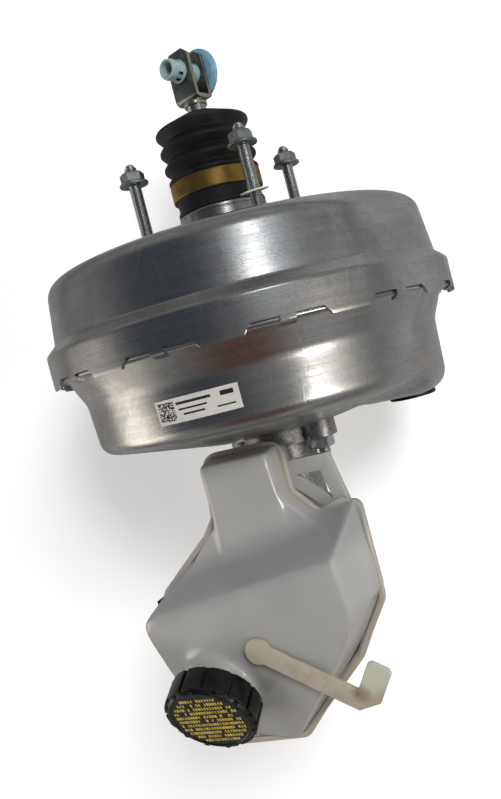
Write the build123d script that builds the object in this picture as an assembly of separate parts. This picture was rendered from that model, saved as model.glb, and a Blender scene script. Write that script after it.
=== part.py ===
from build123d import *
import math
import os

# Vacuum brake booster with its tandem master cylinder and fluid reservoir.
# Millimetres. The origin is the centre of the rear mounting face. +Y points
# back to the pedal, +Z up to the filler cap, +X right as seen from the pedal.
# Turned pieces are drawn as (radius, y) corners and turned about the Y axis.

# Fits and clearances
RUNNING = 0.06            # radial, shaft in its bore
SEATED = 0.05             # between seated rings and their housings
CLEAR = 0.3               # between pieces that move past each other

# Booster shells
SHEET = 1.6
NECK_RADIUS = 28.4
NECK_STEP = 24.6
NECK_STEP_ROOT = 0.3
NECK_STEP_BEND = 2.0
NECK_TOP_RADIUS = 25.6
NECK_LENGTH = 44.0
NECK_BEND = 3.0
BAND_RADIUS = 129.0
DRUM_RADIUS = BAND_RADIUS - 10.4
DRUM_CORNER = 10.2
DRUM_DEPTH = 36.2
DRUM_FLARE = 4.0
BAND_START = 42.2
BAND_END = 62.3
BAND_BEND = 3.5
DRUM_BEND = 2.0

# Crimp round the band
CRIMP_COUNT = 12
CRIMP_CUT = 12.0
NOTCH_DEPTH = 5.1
NOTCH_WIDTH = 36.8
SKIRT_SLANT = 4.9
LANCE_ANGLE = 3.6
LANCE_DROP = 5.4
LANCE_ROOT = 0.5
LANCE_BEND = 0.6
LANCE_TIP_RADIUS = BAND_RADIUS - 5.4

# Front shell
FLANGE_RADIUS = BAND_RADIUS - SHEET - CLEAR
FLANGE_GAP = 0.4
THROAT_RADIUS = FLANGE_RADIUS - 6.3
WAIST_RADIUS = THROAT_RADIUS - 7.6
WAIST_DEPTH = 76.0
FRONT_RADIUS = WAIST_RADIUS - 1.6
FRONT_RIM = 106.8
FRONT_FACE = 119.0
FACE_RADIUS = 48.0
FRONT_CORNER = 9.0
WAIST_BEND = 14.0
THROAT_BEND = 2.5
FACE_BEND = 8.0

# Vacuum port pad and its rubber grommet
PAD_ANGLE = -8.0
PAD_RING = FRONT_RADIUS - 23.1
PAD_RADIUS = 31.0
PAD_INSET = 0.4
PAD_CORNER = 12.0
PAD_FACE = FRONT_FACE - 1.4
PAD_DRAFT = 5.0
PAD_ROUND = 5.0
GROMMET_RADIUS = 14.5
GROMMET_NECK = 11.0
GROMMET_BORE = 8.0
GROMMET_PROUD = 3.0
GROMMET_LIP = 2.6
GROMMET_EDGE = 1.5

# Bulkhead studs and nuts
STUD_SPACING = 75.0
STUD_RADIUS = 3.9
STUD_ROOT_RADIUS = 4.3
STUD_SHOULDER_RADIUS = 4.08
STUD_SHOULDER = 4.0
STUD_LENGTH = 60.9
STUD_POINT = 3.0
STUD_POINT_RADIUS = 2.3
STUD_HEAD_RADIUS = 6.5
STUD_HEAD = 3.0
NUT_PLACE = 48.0
NUT_HEIGHT = 8.0
NUT_FLATS = 13.0
NUT_FLANGE_RADIUS = 8.95
NUT_FLANGE = 1.8
NUT_CHAMFER = 0.4
BACKING_PLATE = 3.0
BACKING_RADIUS = 63.0
WASHER_RADIUS = 8.6
WASHER_THICKNESS = 1.0
WASHER_PLACE = 21.0
WASHER_TILT = 9.0
WASHER_HOLE = 4.6

# Rear seal in the neck
VALVE_TUBE_RADIUS = 20.0
NECK_SEAL_START = 1.0
NECK_SEAL = 8.0
NECK_SEAL_WALL = 1.6
NECK_SEAL_LIP = 2.5
SEAL_RETAINER = 2.0

# Valve body
VALVE_WALL = 2.5
VALVE_TUBE_END = 46.0
VALVE_FLOOR = 4.0
HUB_RADIUS = 30.0
HUB_START = 14.0
HUB_END = 36.0
HUB_FLANGE_RADIUS = 34.0
HUB_FLANGE = 3.5
HUB_SHOULDER = 10.0
HUB_ROUND = 4.0
PLUNGER_RADIUS = 10.0
PLUNGER_FLOOR = 24.0
REACTION_RADIUS = 13.0
REACTION_THICKNESS = 6.8

# Valve plunger, key and poppet
PLUNGER_NOSE = 22.4
PLUNGER_END = 7.0
PLUNGER_LIP_RADIUS = 12.0
PLUNGER_LIP = 2.4
PLUNGER_CHAMFER = 2.0
BALL_PLACE = 2.0
BALL_RADIUS = 7.0
BALL_PLAY = 0.1
KEY_PLACE = 9.0
KEY_THICKNESS = 3.0
KEY_WIDTH = 20.0
KEY_REACH = 23.0
KEY_GROOVE_RADIUS = 7.6
VALVE_TRAVEL = 1.4
POPPET_INNER = 8.2
POPPET_RADIUS = VALVE_TUBE_RADIUS - 5.5
POPPET_SLEEVE_RADIUS = VALVE_TUBE_RADIUS - 3.4
POPPET_DISC = 2.8
POPPET_LENGTH = 10.8
POPPET_WALL = 1.0
POPPET_EDGE = 2.0
RETAINER_INNER = 10.2
RETAINER_THICKNESS = 2.7
POPPET_SPRING_RADIUS = VALVE_TUBE_RADIUS - 6.6
POPPET_SPRING_WIRE = 0.5
POPPET_SPRING_TURNS = 3
ROD_SPRING_RADIUS = 12.0
ROD_SPRING_WIRE = 0.8
ROD_SPRING_TURNS = 4
ROD_SPRING_LENGTH = 12.9
FILTER_INNER = 8.7
FILTER_START = 37.0
FILTER_LENGTH = 5.4
FELT_LENGTH = 2.8

# Input rod, clevis and pin
ROD_RADIUS = 6.0
ROD_NECK_RADIUS = 4.0
ROD_NECK_END = 12.0
ROD_NECK_TAPER = 3.0
ROD_COLLAR_RADIUS = 13.0
ROD_COLLAR = 1.5
ROD_SHOULDER_RADIUS = 7.5
ROD_SHOULDER = 2.7
ROD_TENON_RADIUS = 3.2
ROD_RIVET_RADIUS = 4.0
ROD_RIVET = 1.3
ROD_RIVET_ROUND = 1.0
CLEVIS_BASE = 95.5
CLEVIS_SHEET = 2.6
CLEVIS_GAP = 9.2
CLEVIS_WIDTH = 19.0
CLEVIS_TOP = 127.5
CLEVIS_BEND = 3.2
CLEVIS_CHAMFER = 4.0
CLEVIS_TURN = 18.5
PIN_PLACE = 114.8
PIN_RADIUS = 6.5
PIN_BORE = 4.8
PIN_STICKOUT = 11.5
PIN_HEAD_RADIUS = 16.2
PIN_HEAD = 4.2
PIN_LOCK_RADIUS = 7.1
PIN_LOCK = 1.6
PIN_WINDOW = 1.4
PIN_WINDOW_LENGTH = 3.6
PIN_WINDOW_STEP = 1.0
PIN_WINDOW_ANGLES = (45, 135)

# Boot and its band
BOOT_WALL = 1.6
BOOT_FOOT = 4.0
BOOT_SEAT_RADIUS = 27.9
BOOT_VALLEY_RADIUS = 26.0
BOOT_LOBE_RADIUS = 30.1
BOOT_LOBES = 3
BOOT_LOBE_PITCH = 10.7
BOOT_FIRST_LOBE = 56.0
BOOT_TOP = 88.5
BOOT_TOP_RADIUS = 14.0
BOOT_CREST = 1.6
BOOT_SOCKET_STEP = 0.5
BOOT_NECK_STEP = 0.7
BOOT_TOP_DROP = 2.0
BOOT_TOP_LIP = 2.2
BAND_PLACE = 34.7
BAND_HEIGHT = 10.9
BAND_THICKNESS = 1.45

# Diaphragm and its plate
PLATE_WALL = 1.5
ROLL_RADIUS = FRONT_RADIUS - 4.6
PLATE_RADIUS = ROLL_RADIUS - 1.5
PLATE_STEP_IN = 64.0
PLATE_STEP_OUT = 72.0
PLATE_RAISED = 13.0
PLATE_RIM = 17.0
PLATE_BEND = 5.0
PLATE_EDGE = 4.0
PLATE_EDGE_BEND = 2.0
PLATE_SKIRT = 10.0
RUBBER = 1.6
ROLL_DEPTH = 50.0
BEAD_INNER = THROAT_RADIUS - 1.2
BEAD_START = 44.4

# Return spring of the booster
SPRING_RADIUS = 42.0
SPRING_WIRE = 2.1
SPRING_TURNS = 6

# Output rod
OUTPUT_HEAD_RADIUS = 12.9
OUTPUT_HEAD = 4.6
OUTPUT_RADIUS = 5.0
OUTPUT_END = 95.7
OUTPUT_TAPER = 2.0
OUTPUT_POINT = 1.5

# Master cylinder
BORE_RADIUS = 12.7
BARREL_RADIUS = 20.0
PILOT_RADIUS = 19.0
PILOT_START = 100.0
CYLINDER_FLANGE = 11.0
CYLINDER_END = 272.0
END_WALL = 10.0
CYLINDER_STUD_RING = 31.0
CYLINDER_STUD_ANGLE = 17.5
CYLINDER_BOSS_RADIUS = 10.5
CYLINDER_NUT_HEIGHT = 7.0
CYLINDER_STUD_LENGTH = 143.5
CYLINDER_STUD_HEAD_RADIUS = 6.0
CYLINDER_STUD_POINT = 1.0
FRONT_PLATE = 3.0
FRONT_PLATE_RADIUS = 38.0
O_RING = 2.2
O_RING_WIDTH = 3.0
GUIDE_RADIUS = 16.0
GUIDE_LENGTH = 6.0
PORT_PLACES = (150.0, 206.0)
PORT_BOSS_RADIUS = 13.0
PORT_TOP = 27.0
PORT_FLOOR = 17.0
PORT_RADIUS = 10.0
PORT_HOLE_RADIUS = 1.5
OUTLET_PLACES = (166.0, 228.0)
OUTLET_REACH = 31.0
OUTLET_BOSS_RADIUS = 9.5
OUTLET_THREAD_RADIUS = 5.5
OUTLET_DEPTH = 13.0
OUTLET_HOLE_RADIUS = 2.0
LUG_PLACE = 178.0
LUG_HALF_LENGTH = 5.0
LUG_HALF_WIDTH = 4.0
LUG_PIN_HEIGHT = 23.5
LUG_PIN_RADIUS = 2.5
LUG_PIN_LENGTH = 18.0
LUG_EAR = 3.2
LUG_EAR_DROP = 4.0

# Pistons in the master cylinder
PISTON_RADIUS = 12.65
PRIMARY_START = 88.0
PRIMARY_END = 150.0
PRIMARY_SOCKET_RADIUS = 6.2
SPRING_RECESS_RADIUS = 8.5
SPRING_RECESS = 10.0
SECONDARY_START = 172.0
SECONDARY_END = 216.0
SEAL_GROOVE_RADIUS = 10.4
SEAL_WIDTH = 3.0
SEAL_INSET = 4.0
SEAL_REAR_INSET = 1.2
PISTON_SPRING_RADIUS = 7.2
PISTON_SPRING_WIRE = 0.8
PRIMARY_SPRING_TURNS = 6
SECONDARY_SPRING_TURNS = 8
STOP_PIN_PLACE = 196.0
STOP_PIN_RADIUS = 2.0
STOP_PIN_REACH = 6.0
STOP_PIN_ROOM = 1.5
STOP_PIN_HEAD_RADIUS = 3.5
STOP_PIN_HEAD = 2.0
SECONDARY_TRAVEL = 16.5

# Reservoir, drawn in plan at its weld seam
SEAM_HEIGHT = 50.0
SEAM_LIP = 2.5
SEAM_FLANGE = 1.5
SEAM_CORNER = 10.8
SEAM_HOLLOW = 4.0
SEAM_FRONT = -121.5
SEAM_LEFT = -88.0
SEAM_OUTLINE = (
    (-34, SEAM_FRONT, SEAM_CORNER), (19, SEAM_FRONT, SEAM_CORNER),
    (19, -152, SEAM_HOLLOW), (32, -167, SEAM_HOLLOW),
    (43, -162.5, SEAM_CORNER), (57, -162.5, SEAM_CORNER),
    (57.5, -223, SEAM_CORNER), (44, -243, SEAM_HOLLOW),
    (36, -256, SEAM_CORNER), (4, -286, SEAM_HOLLOW),
    (-11, -302, SEAM_CORNER), (-66, -304, SEAM_CORNER),
    (SEAM_LEFT, -284, SEAM_CORNER), (SEAM_LEFT, -213, SEAM_CORNER),
    (-84, -201, SEAM_CORNER), (-46, -170, SEAM_HOLLOW),
    (-38, -160, SEAM_HOLLOW), (-36, -140, SEAM_HOLLOW),
)
TANK_WALL = 2.2
TANK_DRAFT = 8.0
TANK_TOP = 92.0
TANK_FLOOR = 31.0
HUMP_TOP = 68.0
HUMP_DROP = 5.0
HUMP_LENGTH = 50.0
LARGE = 400.0
RISE_POINTS = ((-66, -197, 75), (49, -175, 75), (20, -187.8, 92))
SLOPE_POINTS = ((-2, -199, 92), (45, -212, 92), (21, -267, 82))
FACET_POINTS = ((-14, -247, 83.7), (21, -267, 82), (-28, -300, 54))

# Filler neck, strainer and cap, square to an axis that leans forward
FILLER_X = -44.6
FILLER_Y = -254.9
FILLER_Z = 85.1
FILLER_LEAN = 27.0
FILLER_RADIUS = 21.0
FILLER_BORE = 18.6
FILLER_RISE = 8.1
FILLER_ROOT = 24.0
THREAD_RADIUS = 22.4
THREAD_WIDTH = 2.0
THREAD_DROP = 3.0
CAP_RADIUS = 27.0
CAP_BODY_RADIUS = 26.2
CAP_INNER = 23.4
CAP_HEIGHT = 16.1
CAP_TOP = 2.6
CAP_RIBS = 14
CAP_RIB_WIDTH = 2.0
CAP_RIB_DROP = 1.5
SEAL_DISC_RADIUS = 20.8
SEAL_DISC = 4.2
SEAL_DISC_PLAY = 1.0
SEAL_DISC_SPIGOT = 4.0
SEAL_DISC_WALL = 1.4
STRAINER_RADIUS = 17.6
STRAINER_WALL = 1.2
STRAINER_DEPTH = 28.0
STRAINER_LIP = 1.0
STRAINER_SLOTS = 8
STRAINER_SLOT_WIDTH = 5.0
STRAINER_SLOT_HEIGHT = 14.0
STRAINER_SLOT_PLACE = 12.0

# Spigots, grommets, float and level sensor
SPIGOT_RADIUS = 7.0
SPIGOT_BORE = 4.8
SPIGOT_COLLAR = 2.0
SPIGOT_END = 19.6
GROMMET_TOP = 29.6
GROMMET_FLANGE_RADIUS = 12.4
FLOAT_X = -30.0
FLOAT_Y = -212.0
FLOAT_RADIUS = 11.0
FLOAT_HEIGHT = 9.0
FLOAT_REST = 45.8
FLOAT_POST_RADIUS = 2.5
FLOAT_POST_TOP = 76.0
SENSOR_Y = -216.0
SENSOR_Z = (SEAM_HEIGHT + TANK_FLOOR) / 2 - 2.0
SENSOR_RADIUS = 5.0
SENSOR_WALL = 1.6
SENSOR_END = -38.0
SENSOR_HEAD = 10.0
SENSOR_HEAD_FLOOR = 2.0
SENSOR_HEAD_SIZE = 15.0
SENSOR_HEAD_HEIGHT = 11.0
SENSOR_PIN = 0.8
SENSOR_PIN_PLACE = 2.5
SENSOR_PIN_INSET = 2.0

# Retaining frame beside the hump
FRAME_Z = SEAM_HEIGHT - 10.0
FRAME_THICKNESS = 6.0
FRAME_OUTER = ((14, -136), (43, -136), (50, -172), (40, -172), (16, -150))
FRAME_WINDOW = ((20, -145), (36.5, -145), (40, -163))

# Wiring clip that lies on the tank
CLIP_START = (-10.0, -230.0)
CLIP_END = (42.8, -263.2)
CLIP_TOP = 90.0
CLIP_WIDTH = 11.0
CLIP_EYE_RADIUS = 7.6
CLIP_THICKNESS = 3.0
CLIP_PEG_RADIUS = 3.5
CLIP_PEG = 8.0
CLIP_ROOM = 20.0
CLIP_HOOK_REACH = 18.0
CLIP_HOOK_WIDTH = 13.5
CLIP_HOOK_OVERLAP = 4.3
CLIP_HOOK_CORNER = 3.0

# Data label on the front shell
LABEL_START = 83.0
LABEL_HEIGHT = 13.0
LABEL_ANGLE = 24.5
LABEL_CENTRE = 87.5
LABEL_THICKNESS = 0.2
LABEL_FILM = 0.05


# ---------------------------------------------------------------- helpers

def turned(corners):
    """Solid turned about the Y axis from (radius, y) corners."""
    return revolve(make_face(Polyline(*corners, close=True)), Axis.Y)


def tube(outer, inner, low, high):
    return turned([(inner, low), (outer, low), (outer, high), (inner, high)])


def bar(radius, low, high, x=0, z=0):
    """Round bar along Y."""
    length = high - low
    return Pos(x, low + length / 2, z) * Rot(90, 0, 0) * Cylinder(radius, length)


def post(radius, low, high, x, y):
    """Round bar along Z."""
    return Pos(x, y, (low + high) / 2) * Cylinder(radius, high - low)


def cross_bar(radius, low, high, y, z):
    """Round bar along X."""
    return Pos((low + high) / 2, y, z) * Rot(0, 90, 0) * Cylinder(radius, high - low)


def block(low, high):
    """Box between two opposite corners."""
    size = [b - a for a, b in zip(low, high)]
    middle = [(a + b) / 2 for a, b in zip(low, high)]
    return Pos(*middle) * Box(*size)


def pressed(points, radii, wall, side=Side.RIGHT):
    """Pressed sheet: a bent line of (radius, y) points with its wall on one side."""
    line = FilletPolyline(*points, radius=radii)
    return revolve(make_face(offset(line, amount=wall, side=side)), Axis.Y)


def coil(radius, wire, turns, low, high, x=0, z=0):
    """Open coil spring along Y that fills the space from low to high."""
    length = high - low - 2 * wire
    pitch = length / turns
    path = Helix(pitch=pitch, height=length, radius=radius)
    section = Plane(path @ 0, z_dir=path % 0) * Circle(wire)
    spring = sweep(section, path=path, is_frenet=True)
    return Pos(x, high - wire, z) * Rot(90, 0, 0) * spring


def stud_places():
    """Centres of the four bulkhead studs as (x, z)."""
    half = STUD_SPACING / 2
    return [(x, z) for x in (-half, half) for z in (-half, half)]


def cylinder_stud_places():
    """Centres of the two master cylinder studs as (x, z)."""
    angle = math.radians(CYLINDER_STUD_ANGLE)
    x = CYLINDER_STUD_RING * math.cos(angle)
    z = CYLINDER_STUD_RING * math.sin(angle)
    return [(x, z), (-x, -z)]


def hex_nut(flats, height, bore):
    """Hexagon nut along Z with its foot at zero."""
    body = extrude(RegularPolygon(flats / 2, 6, major_radius=False), height)
    return body - Pos(0, 0, height / 2) * Cylinder(bore, 2 * height)


# ----------------------------------------------------------- rear shell

def crimp_notch(angle):
    """Cutter for one notch with slanted ends in the lower edge of the band."""
    direction = (math.cos(angle), 0, math.sin(angle))
    across = (-math.sin(angle), 0, math.cos(angle))
    top = BAND_END - NOTCH_DEPTH
    bottom = BAND_END + 1
    half = NOTCH_WIDTH / 2
    slant = SKIRT_SLANT * (bottom - top) / NOTCH_DEPTH
    face = make_face(Polyline((-half, top), (half, top), (half + slant, bottom),
                              (-half - slant, bottom), close=True))
    reach = BAND_RADIUS + 2 * SHEET
    start = tuple((reach - CRIMP_CUT) * part for part in direction)
    plane = Plane(origin=start, x_dir=across, z_dir=direction)
    return extrude(plane * face, CRIMP_CUT)


def lance(angle):
    """Tab bent in under the front shell's flange in the middle of a notch."""
    top = -(BAND_END - NOTCH_DEPTH)
    outer = BAND_RADIUS - SEATED
    inner = BAND_RADIUS - SHEET + SEATED
    under = -(flange_face() + 2 * FLANGE_GAP)
    root = top + LANCE_ROOT
    corners = [(inner, root), (outer, root), (outer, under - LANCE_BEND),
               (LANCE_TIP_RADIUS, top - LANCE_DROP), (LANCE_TIP_RADIUS, top - LANCE_DROP + SHEET),
               (inner, under)]
    face = make_face(Polyline(*corners, close=True))
    tab = revolve(face, Axis.Y, revolution_arc=LANCE_ANGLE)
    return Rot(0, -math.degrees(angle) - LANCE_ANGLE / 2, 0) * tab


def flange_face():
    """Depth of the outer face of the front shell's flange."""
    return BAND_END - NOTCH_DEPTH + FLANGE_GAP + SHEET


def make_rear_shell():
    line = [(NECK_TOP_RADIUS, NECK_LENGTH), (NECK_TOP_RADIUS, NECK_STEP),
            (NECK_RADIUS, NECK_STEP), (NECK_RADIUS, 0), (DRUM_RADIUS, 0),
            (DRUM_RADIUS + DRUM_FLARE, -DRUM_DEPTH), (BAND_RADIUS, -BAND_START),
            (BAND_RADIUS, -BAND_END)]
    bends = [NECK_STEP_ROOT, NECK_STEP_BEND, NECK_BEND, DRUM_CORNER, DRUM_BEND, BAND_BEND]
    shell = pressed(line, bends, SHEET)
    for x, z in stud_places():
        shell -= bar(STUD_ROOT_RADIUS, -2 * SHEET, SHEET, x, z)
    for index in range(CRIMP_COUNT):
        shell -= crimp_notch(2 * math.pi * index / CRIMP_COUNT)
    for index in range(CRIMP_COUNT):
        shell += lance(2 * math.pi * index / CRIMP_COUNT)
    return shell


# ---------------------------------------------------------- front shell

def pad_centre():
    angle = math.radians(PAD_ANGLE)
    return PAD_RING * math.cos(angle), PAD_RING * math.sin(angle)


def front_face():
    """Half outline of the filled front shell, from the flange to the axis."""
    flange = -flange_face()
    line = FilletPolyline((FLANGE_RADIUS, flange), (THROAT_RADIUS, flange),
                          (WAIST_RADIUS, -WAIST_DEPTH), (FRONT_RADIUS, -FRONT_RIM),
                          (FACE_RADIUS, -FRONT_FACE), (0, -FRONT_FACE),
                          radius=[THROAT_BEND, WAIST_BEND, FRONT_CORNER, FACE_BEND])
    back = Polyline((0, -FRONT_FACE), (0, flange + SHEET), (FLANGE_RADIUS, flange + SHEET),
                    (FLANGE_RADIUS, flange))
    return make_face([*line.edges(), *back.edges()])


def port_pad(inset):
    """Raised pad for the vacuum port, held inside the side wall."""
    x, z = pad_centre()
    top = -FRONT_RIM + FRONT_CORNER
    face = -PAD_FACE + inset
    plan = Pos(x, z) * Circle(PAD_RADIUS) & Circle(FRONT_RADIUS - PAD_INSET)
    plan = fillet(plan.vertices(), PAD_CORNER)
    plan = Plane(origin=(0, top, 0), x_dir=(1, 0, 0), z_dir=(0, -1, 0)) * offset(plan, -inset)
    pad = extrude(plan, top - face, taper=PAD_DRAFT)
    rim = pad.edges().group_by(Axis.Y)[0]
    return fillet(rim, PAD_ROUND - inset)


def make_front_shell():
    flange = -flange_face()
    shell = revolve(front_face(), Axis.Y) + port_pad(0)
    hollow = revolve(offset(front_face(), -SHEET), Axis.Y) + port_pad(SHEET)
    hollow += bar(THROAT_RADIUS - SHEET, flange - SHEET, flange + 2 * SHEET)
    hollow += bar(PILOT_RADIUS + CLEAR, -FRONT_FACE - 1, flange)
    x, z = pad_centre()
    hollow += bar(GROMMET_NECK + SEATED, -PAD_FACE - 1, -PAD_FACE + 2 * SHEET, x, z)
    for x, z in cylinder_stud_places():
        hollow += bar(STUD_RADIUS, -FRONT_FACE - 1, -FRONT_FACE + 2 * SHEET, x, z)
    return shell - hollow


def make_vacuum_grommet():
    x, z = pad_centre()
    face = -PAD_FACE
    low = face - GROMMET_PROUD
    groove = face + SHEET
    profile = [(GROMMET_BORE, low), (GROMMET_RADIUS, low), (GROMMET_RADIUS, face),
               (GROMMET_NECK, face), (GROMMET_NECK, groove),
               (GROMMET_RADIUS - GROMMET_EDGE, groove),
               (GROMMET_RADIUS - 2 * GROMMET_EDGE, groove + GROMMET_LIP),
               (GROMMET_BORE, groove + GROMMET_LIP)]
    return Pos(x, 0, z) * turned(profile)


def make_data_label():
    """Thin sticker on the side wall of the front shell."""
    slope = (WAIST_RADIUS - FRONT_RADIUS) / (FRONT_RIM - WAIST_DEPTH)
    top = WAIST_RADIUS - slope * (LABEL_START - WAIST_DEPTH) + LABEL_FILM
    bottom = top - slope * LABEL_HEIGHT
    face = make_face(Polyline((top, -LABEL_START), (top + LABEL_THICKNESS, -LABEL_START),
                              (bottom + LABEL_THICKNESS, -LABEL_START - LABEL_HEIGHT),
                              (bottom, -LABEL_START - LABEL_HEIGHT), close=True))
    film = revolve(face, Axis.Y, revolution_arc=LABEL_ANGLE)
    return Rot(0, -LABEL_CENTRE - LABEL_ANGLE / 2, 0) * film


# ------------------------------------------------- bulkhead studs and seals

def make_rear_plate():
    plate = tube(BACKING_RADIUS, NECK_RADIUS + NECK_BEND, -SHEET - BACKING_PLATE, -SHEET)
    for x, z in stud_places():
        plate -= bar(STUD_ROOT_RADIUS, -2 * BACKING_PLATE, 0, x, z)
    return plate


def make_bulkhead_studs():
    seat = -SHEET - BACKING_PLATE
    shank = STUD_LENGTH - STUD_POINT
    profile = [(0, seat - STUD_HEAD), (STUD_HEAD_RADIUS, seat - STUD_HEAD),
               (STUD_HEAD_RADIUS, seat), (STUD_ROOT_RADIUS, seat), (STUD_ROOT_RADIUS, 0),
               (STUD_SHOULDER_RADIUS, 0), (STUD_SHOULDER_RADIUS, STUD_SHOULDER),
               (STUD_RADIUS, STUD_SHOULDER), (STUD_RADIUS, shank),
               (STUD_POINT_RADIUS, STUD_LENGTH), (0, STUD_LENGTH)]
    stud = turned(profile)
    return [Pos(x, 0, z) * stud for x, z in stud_places()]


def flange_nut():
    """Flange nut along +Y with its flange at the bottom."""
    nut = hex_nut(NUT_FLATS, NUT_HEIGHT, STUD_RADIUS)
    skirt = Pos(0, 0, NUT_FLANGE) * Cone(NUT_FLANGE_RADIUS, NUT_FLATS / 2, 2 * NUT_FLANGE)
    skirt -= Cylinder(STUD_RADIUS, 4 * NUT_HEIGHT)
    top = nut & Pos(0, 0, NUT_HEIGHT / 2) * Cone(NUT_FLATS, NUT_FLATS / 2 + NUT_CHAMFER,
                                                   NUT_HEIGHT)
    return Rot(-90, 0, 0) * (top + skirt)


def make_flange_nuts():
    nut = flange_nut()
    return [Pos(x, NUT_PLACE, z) * nut for x, z in stud_places()]


def make_stud_washer():
    half = STUD_SPACING / 2
    disc = Cylinder(WASHER_RADIUS, WASHER_THICKNESS) - Cylinder(WASHER_HOLE, 2)
    return Pos(half, WASHER_PLACE, half) * Rot(90 + WASHER_TILT, 0, 0) * disc


def make_neck_seal():
    bore = VALVE_TUBE_RADIUS + RUNNING
    outer = NECK_RADIUS - SHEET - SEATED
    end = NECK_SEAL_START + NECK_SEAL
    lip = [(bore, NECK_SEAL_START), (outer, NECK_SEAL_START), (outer, end),
           (bore + NECK_SEAL_WALL, end), (bore + NECK_SEAL_WALL, end - NECK_SEAL_LIP),
           (bore, end - 1.3 * NECK_SEAL_LIP)]
    return turned(lip)


def make_seal_retainer():
    start = NECK_SEAL_START + NECK_SEAL + SEATED
    outer = NECK_RADIUS - SHEET - SEATED
    return tube(outer, VALVE_TUBE_RADIUS + CLEAR, start, start + SEAL_RETAINER)


# -------------------------------------------------------------- power piston

def make_diaphragm_plate():
    seat = -plate_seat()
    line = [(HUB_RADIUS, seat), (PLATE_STEP_IN, seat), (PLATE_STEP_OUT, -PLATE_RAISED),
            (PLATE_RADIUS - PLATE_EDGE, -PLATE_RAISED), (PLATE_RADIUS, -PLATE_RIM),
            (PLATE_RADIUS, -PLATE_RIM - PLATE_SKIRT)]
    bends = [PLATE_BEND, PLATE_BEND, PLATE_EDGE_BEND, PLATE_EDGE_BEND]
    return pressed(line, bends, PLATE_WALL)


def plate_seat():
    """Depth of the plate's rear face, where it sits on the hub's flange."""
    return HUB_START + HUB_SHOULDER


def make_diaphragm():
    inner = HUB_RADIUS + 2 * SEATED
    gap = SEATED
    seat = -plate_seat() + gap
    line = [(inner, seat), (PLATE_STEP_IN - gap, seat),
            (PLATE_STEP_OUT - gap, -PLATE_RAISED + gap),
            (ROLL_RADIUS, -PLATE_RAISED + gap), (ROLL_RADIUS, -ROLL_DEPTH),
            (BEAD_INNER + RUBBER, -ROLL_DEPTH)]
    bends = [PLATE_BEND - gap, PLATE_BEND + gap, PLATE_EDGE_BEND, PLATE_EDGE]
    web = pressed(line, bends, RUBBER, Side.LEFT)
    outer = BAND_RADIUS - SHEET - CLEAR
    flange = -flange_face() + SHEET
    bead = tube(outer, BEAD_INNER, flange + 2 * SEATED, -BEAD_START - 2 * SEATED)
    return web + bead


def make_valve_body():
    seat = -plate_seat() - PLATE_WALL
    bore = VALVE_TUBE_RADIUS - VALVE_WALL
    profile = [(bore, VALVE_TUBE_END), (VALVE_TUBE_RADIUS, VALVE_TUBE_END),
               (VALVE_TUBE_RADIUS, -HUB_START + HUB_ROUND), (HUB_RADIUS, -HUB_START),
               (HUB_RADIUS, seat), (HUB_FLANGE_RADIUS, seat),
               (HUB_FLANGE_RADIUS, seat - HUB_FLANGE), (HUB_RADIUS, seat - HUB_FLANGE),
               (HUB_RADIUS, -HUB_END), (REACTION_RADIUS, -HUB_END),
               (REACTION_RADIUS, -PLUNGER_FLOOR), (PLUNGER_RADIUS + RUNNING, -PLUNGER_FLOOR),
               (PLUNGER_RADIUS + RUNNING, -VALVE_FLOOR), (bore, -VALVE_FLOOR)]
    slot = block((-HUB_RADIUS, -KEY_PLACE - SEATED, -KEY_WIDTH / 2 - SEATED),
                 (HUB_RADIUS, -KEY_PLACE + KEY_THICKNESS + SEATED, KEY_WIDTH / 2 + SEATED))
    return turned(profile) - slot


def make_reaction_disc():
    front = -PLUNGER_FLOOR - SEATED
    return bar(REACTION_RADIUS - SEATED, front - REACTION_THICKNESS, front)


def make_output_rod():
    head = -PLUNGER_FLOOR - 2 * SEATED - REACTION_THICKNESS
    neck = head - OUTPUT_HEAD
    return turned([(0, head), (OUTPUT_HEAD_RADIUS, head), (OUTPUT_HEAD_RADIUS, neck),
                   (OUTPUT_RADIUS, neck - OUTPUT_TAPER),
                   (OUTPUT_RADIUS, -OUTPUT_END + OUTPUT_TAPER),
                   (OUTPUT_RADIUS - OUTPUT_POINT, -OUTPUT_END), (0, -OUTPUT_END)])


def make_return_spring():
    front = -FRONT_FACE + SHEET + CLEAR
    rear = -plate_seat() - PLATE_WALL - CLEAR
    return coil(SPRING_RADIUS, SPRING_WIRE, SPRING_TURNS, front, rear)


# ------------------------------------------------------------- control valve

def make_valve_plunger():
    groove_low = -KEY_PLACE - CLEAR
    groove_high = -KEY_PLACE + KEY_THICKNESS + VALVE_TRAVEL + CLEAR
    lip = PLUNGER_END - PLUNGER_LIP
    body = turned([(0, -PLUNGER_NOSE), (PLUNGER_RADIUS - PLUNGER_CHAMFER, -PLUNGER_NOSE),
                   (PLUNGER_RADIUS, -PLUNGER_NOSE + PLUNGER_CHAMFER),
                   (PLUNGER_RADIUS, groove_low),
                   (KEY_GROOVE_RADIUS - CLEAR, groove_low),
                   (KEY_GROOVE_RADIUS - CLEAR, groove_high),
                   (PLUNGER_RADIUS, groove_high), (PLUNGER_RADIUS, lip),
                   (PLUNGER_LIP_RADIUS, lip), (PLUNGER_LIP_RADIUS, PLUNGER_END),
                   (0, PLUNGER_END)])
    return body - Pos(0, BALL_PLACE, 0) * Sphere(BALL_RADIUS + BALL_PLAY)


def make_valve_key():
    low = -KEY_PLACE
    high = low + KEY_THICKNESS
    key = block((-KEY_REACH, low, -KEY_WIDTH / 2), (KEY_REACH, high, KEY_WIDTH / 2))
    key -= block((-KEY_GROOVE_RADIUS, low - 1, 0), (KEY_GROOVE_RADIUS, high + 1, KEY_WIDTH))
    return key - bar(KEY_GROOVE_RADIUS, low - 1, high + 1)


def poppet_start():
    return PLUNGER_END + CLEAR


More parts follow.
